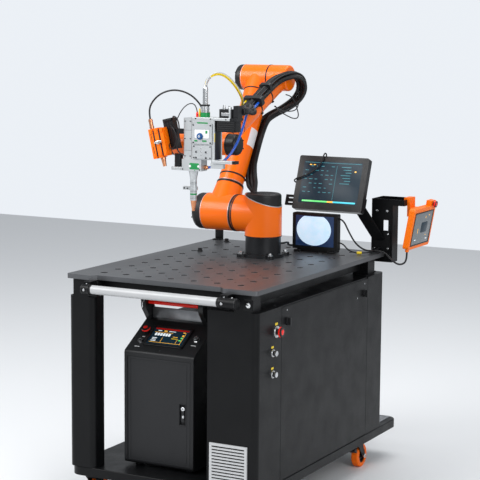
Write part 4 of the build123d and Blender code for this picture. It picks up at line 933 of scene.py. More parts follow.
@dataclass
class Hose:
    """A bundle on one smooth line, cut into stretches where it crosses the joints."""

    points: list
    spans: list
    strands: list
    cuts: list = field(default_factory=list)
    fade: float = 70.0
    stiffness: str = "medium"

    def line(self) -> np.ndarray:
        """Points along the route's smooth spline, in table millimetres."""
        data = bpy.data.curves.new("route", "CURVE")
        data.dimensions = "3D"
        data.resolution_u = 24
        spline = data.splines.new("NURBS")
        spline.points.add(len(self.points) - 1)
        control = np.column_stack([np.array(self.points, dtype=float), np.ones(len(self.points))])
        spline.points.foreach_set("co", control.ravel())
        spline.order_u = 3
        spline.use_endpoint_u = True
        helper = bpy.data.objects.new("route", data)
        bpy.context.scene.collection.objects.link(helper)
        mesh = bpy.data.meshes.new_from_object(helper)
        found = np.empty(len(mesh.vertices) * 3)
        mesh.vertices.foreach_get("co", found)
        bpy.data.objects.remove(helper)
        bpy.data.curves.remove(data)
        bpy.data.meshes.remove(mesh)
        return found.reshape(-1, 3)

    def build(self, workshop: Workshop) -> None:
        """Args:
            workshop: makes the pieces.
        """
        middle = self.line()
        marks = [0]
        for run, share in self.cuts:
            first = np.array(self.points[run])
            spot = first + (np.array(self.points[run + 1]) - first) * share
            marks.append(int(np.argmin(np.linalg.norm(middle - spot, axis=1))))
        marks.append(len(middle) - 1)
        for strand in self.strands:
            line = self._beside(middle, strand)
            for span, start, end in zip(self.spans, marks, marks[1:]):
                self._stretch(workshop, strand, span, line[start:end + 1])

    def _beside(self, middle: np.ndarray, strand: Strand) -> np.ndarray:
        """The strand's own line: the middle line plus out * side + rise * outer, both square to it.

        The offset grows from nothing over the fade length at both ends, as strands part from one boot.

        Args:
            middle: the bundle's middle line.
            strand: the strand.

        Returns:
            The strand's points, one for each of the middle line's.
        """
        if not (strand.out or strand.rise):
            return middle
        tangent = tangents(middle)
        outer = np.cross((1.0, 0.0, 0.0), tangent)
        outer /= np.linalg.norm(outer, axis=1)[:, None]
        side = np.cross(tangent, outer)
        reach = distances(middle)
        share = np.clip(np.minimum(reach, reach[-1] - reach) / self.fade, 0.0, 1.0)
        share = share * share * (3 - 2 * share)
        return middle + share[:, None] * (strand.out * side + strand.rise * outer)

    def _stretch(
        self, workshop: Workshop, strand: Strand, span: Span, line: np.ndarray
    ) -> None:
        """One stretch: its stations are spread evenly, and ribs swell the section by a cosine.

        Args:
            workshop: makes the piece.
            strand: the line's thickness, ribs and finish.
            span: the stretch's name, bodies and node.
            line: the strand's points along the stretch.
        """
        reach = distances(line)
        length = reach[-1]
        pitch = strand.rib_pitch / 4 if strand.rib_pitch else strand.radius * 0.8
        count = max(int(length / pitch), 4) + 1
        station = np.linspace(0.0, length, count)
        centre = np.column_stack([np.interp(station, reach, line[:, axis]) for axis in range(3)])
        radii = np.full(count, strand.radius)
        if strand.rib_pitch:
            wave = 1 + np.cos(FULL_TURN * station / strand.rib_pitch)
            radii = strand.radius - strand.rib_depth * 0.5 * wave
        shell = along_route(centre, radii, 16 if strand.radius > 6 else 12)
        piece = workshop.object(strand.prefix + span.name, [shell], strand.look, 60.0)
        if len(span.bodies) == 2:
            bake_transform(piece)
        else:
            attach(piece, span.bodies[0])
        if span.node and strand.main:
            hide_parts(span.node)
        log.info("hose %s: %.0f mm", strand.prefix + span.name, length)


def cable(
    name: str, body: str, radius: float, points: list, node: str = "", stiffness: str = "medium"
) -> Hose:
    """A plain black cable: one strand in one stretch.

    Args:
        name: the piece's name.
        body: the body that it rides on.
        radius: its radius.
        points: the route's control points.
        node: the frame's node that it stands for, if any.
        stiffness: how stiff it is; kept on the hose, where nothing uses it.

    Returns:
        The hose, not built yet.
    """
    strand = Strand("", radius, Look.CONDUIT)
    return Hose(points, [Span(name, node, (body,))], [strand], stiffness=stiffness)


@dataclass
class HoseSet:
    """Every hose of the arm and every cable on the table."""

    arm: ArmShape
    screen: Axes
    clamp_front: float = 330.0

    def build(self, workshop: Workshop) -> None:
        """Makes the dress pack, the tool's own lines and the cables on the table."""
        tool_lines = [self._sleeve(), self._fibre(), self._blue()]
        for hose in tool_lines + self._arm_cables() + self._stand_cables():
            hose.build(workshop)

    def _sleeve(self) -> Hose:
        """The corrugated bundle from the tool over the elbow to the turret."""
        fore, upper = self.arm.on_fore, self.arm.on_upper
        saddle_share = (375 - self.clamp_front) / 225
        return Hose(
            points=[
                (542, 431, 622), (542, 472, 622), (521, 520, 631), (495, 566, 633), (466, 611, 632),
                (436, 656, 628), (406, 704, 618), fore(375, 28, 54), fore(150, 28, 54),
                (392, 1022, 738), (411, 1066, 750), (426, 1118, 750), (432, 1166, 726),
                (428, 1190, 680), (402, 1188, 632), (356, 1160, 594), (313, 1112, 566),
                upper(450, 50, 44), upper(270, 50, 44), (306, 950, 336), (326, 915, 298),
                (352, 884, 264), (364, 866, 242),
            ],
            spans=[
                Span("sleeve_at_tool", "tool_lines_front", ("tool", "wrist_two")),
                Span("sleeve_over_wrist", "tool_lines_middle", ("wrist_two", "wrist_one"), False),
                Span(
                    "sleeve_to_forearm", "tool_lines_rear", ("wrist_one", "forearm"),
                    from_far_end=True, carries=("sleeve_over_wrist",),
                ),
                Span("sleeve_on_forearm", "hose_forearm", ("forearm",), False),
                Span("sleeve_round_elbow", "hose_elbow", ("forearm", "upper_arm")),
                Span("sleeve_on_upper_arm", "hose_upper_arm", ("upper_arm",), False),
                Span("sleeve_to_turret", "hose_shoulder", ("upper_arm", "turret")),
            ],
            strands=[
                Strand("main_", 12.0, Look.CONDUIT, rib_pitch=5.2, rib_depth=2.2),
                Strand("second_", 9.5, Look.CONDUIT, 17.5, -13.6, 4.4, 1.8, False),
                Strand("third_", 9.0, Look.CONDUIT, -19.0, -4.0, 4.4, 1.8, False),
                Strand("sensor_line_", 3.0, Look.CONDUIT, 15.6, 4.0, main=False),
            ],
            cuts=[(3, 0.45), (5, 0.4), (7, saddle_share), (7, 0.86), (17, 0.17), (17, 0.8)],
        )

    @staticmethod
    def _tool_spans(name: str) -> list:
        """The three stretches that a thin line has between the tool and the forearm."""
        return [
            Span(f"{name}_at_tool", "tool_lines_front", ("tool", "wrist_two")),
            Span(f"{name}_over_wrist", "tool_lines_middle", ("wrist_two", "wrist_one")),
            Span(f"{name}_to_forearm", "tool_lines_rear", ("wrist_one", "forearm")),
        ]

    def _fibre(self) -> Hose:
        """The yellow fibre from its connector, with a milky tube beside it."""
        fore = self.arm.on_fore
        return Hose(
            points=[
                (400, 376, 708), (400, 376, 736), (412, 408, 760), (424, 455, 764), (433, 504, 744),
                (440, 548, 712), (436, 594, 680), (421, 643, 653), (392, 692, 630),
                fore(380, 0, 56), fore(self.clamp_front, 0, 56),
            ],
            spans=self._tool_spans("fibre"),
            strands=[
                Strand("yellow_", 4.5, Look.YELLOW_LINE),
                Strand("milky_tube_", 2.0, Look.CLEAR_LINE, 3.0, 7.0, main=False),
            ],
            cuts=[(5, 0.5), (7, 0.5)],
            fade=50.0,
        )

    def _blue(self) -> Hose:
        """The blue gas hose from the lower block."""
        fore = self.arm.on_fore
        return Hose(
            points=[
                (394, 384, 400), (427, 384, 400), (462, 398, 420), (488, 420, 450), (501, 450, 494),
                (503, 486, 540), (495, 526, 578), (478, 571, 600), (456, 622, 604), (433, 678, 600),
                fore(392, 56, 50), fore(self.clamp_front, 56, 50),
            ],
            spans=self._tool_spans("gas_hose"),
            strands=[Strand("blue_", 5.0, Look.BLUE_LINE)],
            cuts=[(7, 0.3), (9, 0.2)],
        )

    @staticmethod
    def _arm_cables() -> list:
        """The cable that arches over the head, the connector's relief and the loops behind the elbow."""
        relief = Hose(
            points=[(400, 376, 706), (400, 376, 736), (408, 397, 752)],
            spans=[Span("fibre_relief", "", ("tool",), False)],
            strands=[Strand("", 6.4, Look.BRIGHT, rib_pitch=4.6, rib_depth=1.8)],
        )
        return [
            cable("wire_feed_cable", "tool", 3.5, [
                (167.4, 346, 582.8), (160, 347, 615), (172, 350, 650), (205, 354, 682), (250, 358, 699),
                (296, 362, 699), (338, 370, 683), (366, 382, 655), (380, 392, 626), (380, 392, 597),
            ], "feed_cable", "stiff"),
            relief,
            cable("elbow_loop_outer", "forearm", 2.4, [
                (410, 1058, 661), (410, 1119, 654), (410, 1162, 607), (410, 1189, 561), (410, 1143, 552),
                (410, 1051, 576), (410, 990, 597), (410, 960, 616),
            ]),
            cable("elbow_loop_inner", "forearm", 2.4, [
                (416, 1147, 690), (416, 1174, 657), (416, 1170, 612), (416, 1140, 590), (416, 1068, 589),
                (416, 998, 597), (416, 939, 617),
            ]),
        ]

    def _stand_cables(self) -> list:
        """The pendant's lead and the thin cables of the screens and the arm's base."""
        return [
            cable("pendant_lead", "stand", 4.0, [
                (933, 1172, 8), (933, 1172, -16), (927, 1167, -40), (904, 1158, -48), (880, 1150, -34),
                (862, 1143, -12), (842, 1136, 6), (812, 1130, 9), (778, 1128, 5),
            ], "pendant_cable"),
            cable("arm_base_cable", "stand", 4.5, [
                (474, 869, 47), (494, 869, 50), (500, 905, 50), (480, 960, 40), (450, 1010, 26),
                (446, 1050, 16), (468, 1086, 16), (520, 1094, 32), (558, 1080, 54), (570, 1062, 60),
                (570, 1042, 60),
            ]),
            cable("camera_screen_cable", "stand", 3.5, [
                (682, 1026, 148), (702, 1026, 146), (724, 1034, 96), (748, 1052, 44), (776, 1084, 14),
                (800, 1120, 9), (806, 1155, 12), (806, 1180, 18),
            ]),
            cable("camera_signal_cable", "stand", 3.0, [
                (682, 1030, 46), (700, 1030, 44), (722, 1032, 18), (752, 1040, 7), (786, 1058, 7),
                (808, 1092, 8), (790, 1128, 10), (782, 1158, 14), (782, 1180, 20),
            ]),
            cable("front_screen_cable", "stand", 3.0, [tuple(self.screen.at(point)) for point in (
                (-44, 236, -14), (-44, 250, -10), (-46, 248, 9), (-50, 215, 9), (-62, 186, 8),
                (-92, 160, 8), (-130, 140, 9), (-164, 128, 8), (-176, 120, -8), (-161.5, 116, -16),
            )]),
        ]


@dataclass
class Trim:
    """Small pieces of one sub-assembly: what adds them to the body that they ride on."""

    workshop: Workshop
    body: str = "stand"

    def add(self, name: str, look: Look, *groups: object, body: str = "") -> None:
        """Adds one piece.

        Args:
            name: the piece's name.
            look: its finish.
            *groups: shells and lists of shells.
            body: the body that it rides on, when it isn't the sub-assembly's own.
        """
        shells = []
        for group in groups:
            shells += group if isinstance(group, list) else [group]
        made = self.workshop.object(name, shells, look)
        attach(made, body or self.body)
        log.info("piece %s: %d faces on %s", name, len(made.data.polygons), body or self.body)

    def prints(self, name: str, axes: Axes, marks: list, depth: float = 0.5) -> None:
        """Small flat marks on a face, joined into one piece for each finish.

        Args:
            name: what the pieces' names start with.
            axes: the face that they lie on.
            marks: rows of right, up, width, height and finish.
            depth: how far they stand out.
        """
        groups: dict = {}
        for right, up, width, height, look in marks:
            shell = slab(axes.moved(right, up), width, height, depth, min(width, height) * 0.2, 0.15)
            groups.setdefault(look, []).append(shell)
        for look, shells in groups.items():
            self.add(f"{name}_{look.name.lower()}", look, shells)


@dataclass(kw_only=True)
class RobotTrim(Trim):
    """Seam rings, bolts, tie heads and the bare plate of the arm."""

    arm: ArmShape
    cap_slant: float = 18.0
    cap_level: float = 236.0
    base_radius: float = 77.0
    tube_radius: float = 53.6
    fore_radius: float = 39.6
    wrist_radius: float = 44.0
    lug_top: float = 14.0

    def build(self) -> None:
        """Adds the trim of each link to its own body."""
        arm = self.arm
        column, tube = self.base_radius, self.tube_radius
        fore, wrist = self.fore_radius, self.wrist_radius
        seams = {
            "turret": [
                (TOP.at(*arm.base, 86.5), column, 4.0, 1.0), (RIGHT.at(326, 800, 174), column, 5.0, 1.2),
            ],
            "upper_arm": [
                (RIGHT.at(317, 800, 174), column, 9.0, 1.4), (RIGHT.at(176, 800, 174), 76.6, 3.0, 0.8),
                (arm.upper_axes(124), 57.4, 9.0, 1.4), (arm.upper_axes(164), tube, 7.0, 1.6),
                (arm.upper_axes(572), tube, 5.0, 1.2), (arm.beside(arm.elbow, 54), 56.0, 6.0, 1.2),
                (arm.beside(arm.elbow, -73), 55.7, 3.0, 0.8),
            ],
            "forearm": [
                (arm.fore_axes(176), fore, 8.0, 1.4), (arm.fore_axes(282), fore, 8.0, 1.4),
                (arm.fore_axes(452), fore, 3.0, 0.9), (arm.fore_axes(506), fore, 3.0, 0.9),
                (arm.fore_axes(544), 41.4, 4.0, 1.0), (arm.beside(arm.wrist, 43), wrist, 4.0, 0.9),
            ],
            "wrist_one": [(BACK.at(247.5, y, 476.7), wrist, 4.0, 0.9) for y in (631.1, 547.1)],
            "wrist_two": [(RIGHT.at(x, 485.6, 476.7), wrist, 4.0, 0.9) for x in (205.5, 288.5)],
        }
        pale = {
            "upper_arm": [
                (RIGHT.at(310.5, 800, 174), column, 1.6, 0.8),
                (RIGHT.at(179.5, 800, 174), column, 1.8, 0.8),
                (arm.beside(arm.elbow, -69), 56.0, 1.6, 0.8), (arm.upper_axes(131.5), 56.4, 2.0, 0.9),
            ],
            "wrist_one": [(BACK.at(247.5, 627.1, 476.7), wrist, 1.4, 0.7)],
        }
        for body, rows in seams.items():
            self.add(f"{body}_seam_bands", Look.BLACK_COVER, [collar(*row) for row in rows], body=body)
        slanted = self._slanted_ring(column + 1, column - 1.5, 3.0)
        self.add("turret_pale_rings", Look.SEAM, slanted, body="turret")
        for body, rows in pale.items():
            self.add(f"{body}_pale_rings", Look.SEAM, [collar(*row) for row in rows], body=body)
        plate = wrapped(arm.on_upper, tube - 0.2, 0.9, (306, 388), (-36, 17))
        self.add("bare_arm_plate", Look.WHITE, plate, body="upper_arm")
        self._base()
        self._ties_and_caps()

    def _slanted_ring(self, outer: float, inner: float, height: float) -> Shell:
        """A thin band on the column where its slanted cap begins.

        Formula: z(x) = level - tan(slant) * x on the column's circle, with x from the column's axis.

        Args:
            outer: its outer radius.
            inner: its inner radius.
            height: its height.

        Returns:
            The closed shell.
        """
        fall = math.tan(math.radians(self.cap_slant))
        rings = []
        for radius, rise in ((inner, 0.0), (outer, 0.0), (outer, height), (inner, height)):
            spots = np.array(circle(72, radius))
            level = self.cap_level + rise - height / 2 - fall * spots[:, 0]
            rings.append(np.column_stack([spots + self.arm.base, level]))
        return Shell.tube(rings, True)

    def _base(self) -> None:
        """Four lug bolts, the base's screws and its cable gland."""
        x, y = self.arm.base
        bolts = [TOP.at(x + right, y + back, self.lug_top) for right, back in circle(4, 98, 45)]
        self.add("base_lug_bolts", Look.BRIGHT, [hex_bolt(spot, 8.5, 9.0) for spot in bolts])
        spots = [TOP.at(x + right, y + back, self.lug_top) for right, back in circle(8, 81, 22.5)]
        screws = [cap_screw(spot, 3.2, 2.6) for spot in spots]
        gland = ring(RIGHT.at(474, 869, 47), 4.6, 9.0, 10.0)
        self.add("base_screws_and_gland", Look.DARK_METAL, screws, gland)

    def _ties_and_caps(self) -> None:
        """Tie heads on the straps and screws round the black end caps."""
        arm = self.arm
        ties = [
            slab(Axes(arm.on_fore(along, 34, -22), tuple(arm.fore_way), (0.8, 0.1, -0.6)), 11, 8, 6, 2)
            for along in (282, 176)
        ]
        self.add("forearm_tie_heads", Look.BLACK_COVER, ties, body="forearm")
        head = slab(Axes(arm.on_upper(164, 50, 22), tuple(arm.up_way), (0.9, 0.3, -0.3)), 11, 9, 7, 2)
        self.add("upper_arm_tie_head", Look.BLACK_COVER, head, body="upper_arm")
        caps = {
            "upper_arm": [
                ((131, 800, 174), circle(8, 62.0, 22.5), -1),
                (arm.elbow - 102 * arm.east, circle(6, 43.0, 30), -1),
            ],
            "forearm": [(arm.wrist + 90 * arm.east, circle(6, 33.0, 30), 1)],
        }
        for body, circles in caps.items():
            screws = [
                cap_screw(Axes((x, y + back, z + up), (0, 1, 0), (out, 0, 0)), 3.0, 2.4)
                for (x, y, z), spots, out in circles for back, up in spots
            ]
            self.add(f"{body}_cap_screws", Look.DARK_METAL, screws, body=body)


@dataclass
class HeadTrim(Trim):
    """Covers, screws and marks of the welding head and the rails beside it."""

    body: str = "tool"
    face: float = 351.0
    cover_front: float = 345.0
    lower_front: float = 347.0
    connector: tuple = (400.0, 376.0)
    nozzle: tuple = (347.0, 378.0)
    connector_seat: float = 14.6
    rib_levels: tuple = (549, 557, 565, 573, 581)

    def build(self) -> None:
        """Adds the head's trim."""
        cover = FRONT.at(402, self.cover_front, 533)
        lower = FRONT.at(402, self.lower_front, 462)
        self.add(
            "head_cover_outlines", Look.RIM,
            slab(FRONT.at(402, self.face + 0.3, 533.5), 90.5, 81.5, 0.7, 3, 0.2),
            slab(FRONT.at(402, self.face + 0.3, 462), 82.5, 54.5, 0.7, 3, 0.2),
            slab(cover.moved(out=-0.2), 66, 35, 0.5, 2, 0.1),
        )
        self.add("head_label_plate", Look.WHITE, slab(cover, 64.5, 33.5, 0.8, 2, 0.3))
        self.prints("head_marks", FRONT.at(400, self.face, 500), [(1, 74.5, 48, 8, Look.GREEN)])
        self.prints("cover_marks", cover.moved(out=0.8), [
            (21, 8, 9.5, 11.5, Look.GREEN), (-26.5, -27, 14, 6, Look.GREEN), (11.5, -27, 19, 6, Look.GREEN),
        ], 0.4)
        self.add("head_knob", Look.BLUE, dome(cover.moved(-7.6, -9, 0.4), 13.0, 9.0))
        self.add("head_knob_centre", Look.WHITE, ring(cover.moved(-7.6, -9, 8.6), 2.5, 4.6, 1.4))
        self.add(
            "head_screws", Look.DARK_METAL,
            FRONT.each(cap_screw, (364, 440), self.cover_front, (499, 567), 3.0, 2.0),
            FRONT.each(cap_screw, (366, 438), self.lower_front, (440, 484), 2.6, 2.0),
            FRONT.each(cap_screw, (371, 437, 505, 536), self.face, 592, 2.8, 1.6),
        )
        dimples = [lower.moved(x, y) for x in (-26, 18) for y in (0.5, -22)]
        self.add(
            "head_dimples", Look.BRIGHT, [ring(spot, 3.4, 5.8, 1.2) for spot in dimples],
            [ring(lower.moved(-4, y), 1.4, 2.6, 0.9) for y in (14, 2, -12)],
        )
        # Painted shade: near-black discs inside the dimples.
        cup = [(0, 3.4), (0.5, 3.4), (0.6, 3.0)]
        self.add("head_dimple_shade", Look.HOLE_SHADE, [lathe(spot, cup, 20) for spot in dimples])
        self._lower()
        self._connector()
        self._rails()

    def _lower(self) -> None:
        """The lower block's green plate, nozzle rings, clamp screws and seams."""
        block = FRONT.at(364, 353, 405)
        self.prints("lower_block_marks", block, [(0, 0, 44, 25, Look.GREEN), (2, -17, 6, 2.4, Look.GREEN)])
        notch = [(0, 5.0), (0.5, 5.0), (0.6, 4.6)]
        notches = [lathe(block.moved(x, 0, 0.3), notch, 24) for x in (-19, 19)]
        self.add("lower_block_notches", Look.WHITE, notches)
        self.add("nozzle_green_ring", Look.GREEN, collar(TOP.at(*self.nozzle, 293), 13.0, 6.0, 0.8))
        rings = TOP.each(collar, *self.nozzle, (340, 334, 303, 282, 276), 13.0, 1.4, 0.5)
        self.add("nozzle_rings", Look.RIM, rings)
        self.add(
            "lower_block_screws", Look.DARK_METAL, FRONT.each(cap_screw, (310, 324), 370, 315.5, 3.2, 2.4),
            FRONT.each(cap_screw, (312, 388), 353, 392, 2.4, 1.6),
            FRONT.each(cap_screw, (320, 344), 357, (444, 512, 580), 2.4, 1.6),
        )
        self.add(
            "side_box_seams", Look.RIM, FRONT.each(slab, 332, 357, (466, 545), 39, 1.2, 0.5, 0.4, 0.1),
            slab(FRONT.at(350, 357, 512), 1.2, 158, 0.5, 0.4, 0.1),
        )
        # A dark slab over the head's right face, darker than its silver front.
        self.add("head_right_face_dark_slab", Look.DARK_METAL, slab(RIGHT.at(454, 381, 509.5), 46, 152, 0.8, 3, 0.3))
        self.add("head_side_strip", Look.YELLOW, slab(RIGHT.at(454, 354.5, 520), 4, 34, 0.8, 1, 0.2))
        gland = [(0, 9.0), (7, 9.0), (8, 7.0), (16, 6.6), (17, 5.2)]
        self.add("gas_hose_fitting", Look.COPPER, lathe(RIGHT.at(394, 384, 400), gland, 24))

    def _connector(self) -> None:
        """Bands, ribs and the braided neck of the fibre connector."""
        x, y = self.connector
        self.add("connector_green_band", Look.GREEN, collar(TOP.at(x, y, 606.5), 18.0, 18.0, 0.8))
        self.add("connector_black_ring", Look.BLACK_COVER, collar(TOP.at(x, y, 643.5), 17.0, 5.6, 1.2))
        ribs = []
        for right, back in circle(12, 1.0):
            spot = (x + self.connector_seat * right, y + self.connector_seat * back, 629)
            ribs.append(slab(Axes(spot, (-back, right, 0.0), (right, back, 0.0)), 3.4, 22, 1.6, 1.2, 0.5))
        self.add("connector_ribs", Look.SILVER, ribs)
        rings = TOP.each(collar, x, y, (654, 672, 694, 704), 10.0, 2.4, 1.0)
        neck = lathe(TOP.at(x, y, 707.5), [(0, 10.0), (4, 9.4), (14, 6.8), (16, 5.2)], 24)
        self.add("connector_rings", Look.BRIGHT, rings, neck)
        for name, look, spot, tall in (
            ("red", Look.RED, (366, 372, 596.6), 20.0), ("yellow", Look.YELLOW, (374, 378, 598.0), 32.0),
        ):
            profile = [(0, 4.6), (tall * 0.7, 4.6), (tall * 0.75, 3.6), (tall, 3.0)]
            self.add(f"head_plug_{name}", look, lathe(TOP.at(*spot), profile, 20))

    def _rails(self) -> None:
        """Bright skins on the plates beside the head, the box's ribs and the unit's fittings."""
        self.add(
            "bright_rails", Look.SILVER, slab(TOP.at(437, 378, 586.6), 171, 55, 10.8, 2.5, 0.8),
            slab(TOP.at(518, 362, 597), 9, 10.4, 44, 1.5, 0.8),
            slab(TOP.at(488, 365, 419.6), 93, 29, 12.8, 3, 0.8),
            slab(TOP.at(461, 369, 399.6), 55, 21, 20.4, 1.5, 0.8),
        )
        self.add(
            "control_box_ribs", Look.BLACK_COVER,
            RIGHT.each(slab, 544, 378, self.rib_levels, 40, 3.2, 3.0, 1.0, 0.6),
            FRONT.each(slab, 503, 355, self.rib_levels, 76, 3.2, 2.4, 1.0, 0.6),
        )
        self.add(
            "top_unit_fittings", Look.BRIGHT,
            lathe(TOP.at(488, 368, 630.6), [(0, 6), (8, 6), (9, 5), (16, 4.6), (17, 3.0)], 20),
            lathe(TOP.at(508, 372, 630.6), [(0, 5), (5, 5), (6, 3.4), (14, 3.2)], 20),
            slab(FRONT.at(499, 357, 612), 34, 12, 1.6, 2, 0.5),
        )
        boot = lathe(BACK.at(542, 428, 622), [(0, 16.2), (10, 16.6), (18, 15.4), (34, 13.0)], 28)
        self.add("sleeve_boot", Look.BLACK_COVER, boot)
        nuts = BACK.each(collar, 542, (404, 420), 622, 15.0, 7.0, 2.2, 32)
        self.add("sleeve_gland_rings", Look.DARK_METAL, nuts)


@dataclass
class FeedTrim(Trim):
    """Painted slot shade, wing bolt and cable loops of the wire feed."""

    body: str = "tool"
    tilt: float = 13.0

    def build(self) -> None:
        """Adds the trim on the tilted clamp and slide."""
        lean = math.radians(self.tilt)
        right = (math.cos(lean), 0.0, math.sin(lean))
        clamp = Axes((214, 328, 492), right, (0, -1, 0))
        # Painted shade: near-black slabs in the clamp's slots.
        self.add(
            "clamp_slot_shade", Look.HOLE_SHADE,
            [slab(clamp.moved(x, 0, -0.2), 5.0, 104, 0.9, 1.5, 0.2) for x in (-12.4, 12.6)],
            [slab(clamp.moved(-25, y, -0.2), 2.0, 30, 0.9, 0.8, 0.2) for y in (-26, 26)],
        )
        pads = [slab(clamp.moved(x, y), 11, 14, 3.0, 2, 0.8) for x in (-25, 0.2, 24.4) for y in (-46, 46)]
        self.add("clamp_end_pads", Look.PENDANT, pads)
        self.add(
            "wing_bolt", Look.BRIGHT,
            lathe(clamp.moved(2, 2), [(0, 8), (6, 8), (7, 6.4), (12, 6), (13, 4.4)], 24),
            slab(clamp.moved(12, 3, 4), 20, 9, 5, 4, 1.6), slab(clamp.moved(-8, 3, 4), 12, 8, 5, 3.6, 1.6),
        )
        up = tuple(np.cross((0, -1, 0), right))
        nuts = [
            collar(Axes(tuple(clamp.at((x, y, -18))), right, up), *sizes, 24) for x, y, *sizes in (
                (-25, 66, 8.0, 6.0, 1.4), (-25, 92, 8.0, 4.0, 1.0), (0, -64, 9.6, 5.0, 1.2),
            )
        ]
        self.add("wire_tube_nuts", Look.COPPER, nuts)
        slide = Axes((246, 367, 526), right, (0, -1, 0))
        ribs = [slab(slide.moved(x, 6), 3.0, 104, 2.0, 1.2, 0.6) for x in (-12, 0, 12)]
        self.add("slide_ribs", Look.BLACK_COVER, ribs, slab(slide.moved(0, 56), 40, 8, 5.0, 2, 1))
        self.add("drum_bands", Look.DARK_METAL, TOP.each(collar, 278, 382, (404, 420, 444), 17.0, 3.0, 0.9))
        self.add(
            "drum_bracket_skin", Look.SILVER, slab(TOP.at(281, 381, 385.6), 51, 39, 12.8, 3, 0.8),
            FRONT.each(cap_screw, (270, 294), 361.4, 392, 3, 1.6),
        )
        self._loops()

    def _loops(self) -> None:
        """Three stiff cable loops at the feed and the head."""
        loops = {
            "feed_loop_outer": (2.6, [
                (262, 366, 578), (270, 340, 600), (296, 334, 596), (306, 338, 560), (300, 340, 520),
                (288, 342, 484), (296, 352, 452), (312, 362, 446),
            ]),
            "feed_loop_inner": (2.0, [
                (250, 366, 560), (262, 346, 560), (286, 338, 540), (296, 336, 505), (282, 338, 475),
                (262, 342, 468), (250, 352, 486), (246, 366, 492),
            ]),
            "head_loop": (2.0, [
                (366, 372, 616), (364, 368, 640), (346, 362, 652), (320, 358, 640), (296, 358, 612),
                (284, 362, 590), (272, 368, 582),
            ]),
        }
        for name, (radius, points) in loops.items():
            cable(name, self.body, radius, points, stiffness="stiff").build(self.workshop)


@dataclass
class TableTrim(Trim):
    """Hole rims, painted shade in the small holes, plug and the fixture bolts on the table."""

    arm_spot: tuple = (440.0, 800.0)
    first: tuple = (115.0, 90.0)
    pitch: float = 100.0
    columns: int = 7
    rows: int = 11

    def _grid(self, rows: int, columns: int, shift: float, clear: float) -> list:
        """Places of the hole grid that the arm's base leaves bare.

        Args:
            rows: how many rows the grid has.
            columns: how many columns it has.
            shift: how far the grid is moved from the first hole, both ways.
            clear: how far from the arm's axis the holes start.

        Returns:
            Pairs of x and y, column by column.
        """
        spots = [
            (self.first[0] + column * self.pitch + shift, self.first[1] + row * self.pitch + shift)
            for column in range(columns) for row in range(rows)
        ]
        return [spot for spot in spots if math.dist(spot, self.arm_spot) > clear]

    def build(self) -> None:
        """Adds the trim of the table's face and edge."""
        big = self._grid(self.rows, self.columns, 0.0, 122)
        self.add("hole_rims", Look.RIM, [ring(TOP.at(x, y, -0.15), 13.9, 15.6, 0.35, 28) for x, y in big])
        small = self._grid(self.rows - 1, self.columns - 1, self.pitch / 2, 110)
        # Painted shade: near-black discs sunk in the small holes.
        dimple = [(0, 4.0), (0.3, 4.0), (0.35, 3.7)]
        self.add("small_hole_shade", Look.HOLE_SHADE, [lathe(TOP.at(x, y, -0.2), dimple, 14) for x, y in small])
        self.add("hole_plug", Look.RIM, ring(TOP.at(41, 85, -0.2), 11.0, 13.0, 0.6, 32))
        bolts = [hex_bolt(TOP.at(x, y, 0), 9.0, 14.0) for x, y in ((142, 793), (97, 1111))]
        self.add("fixture_bolts", Look.BLACK_COVER, bolts)
        self.add(
            "rear_stop_post", Look.BLACK_PAINT, slab(TOP.at(30, 1166, 0), 38, 10, 92, 2, 1),
            slab(TOP.at(30, 1150, 0), 38, 30, 5, 2, 1),
        )


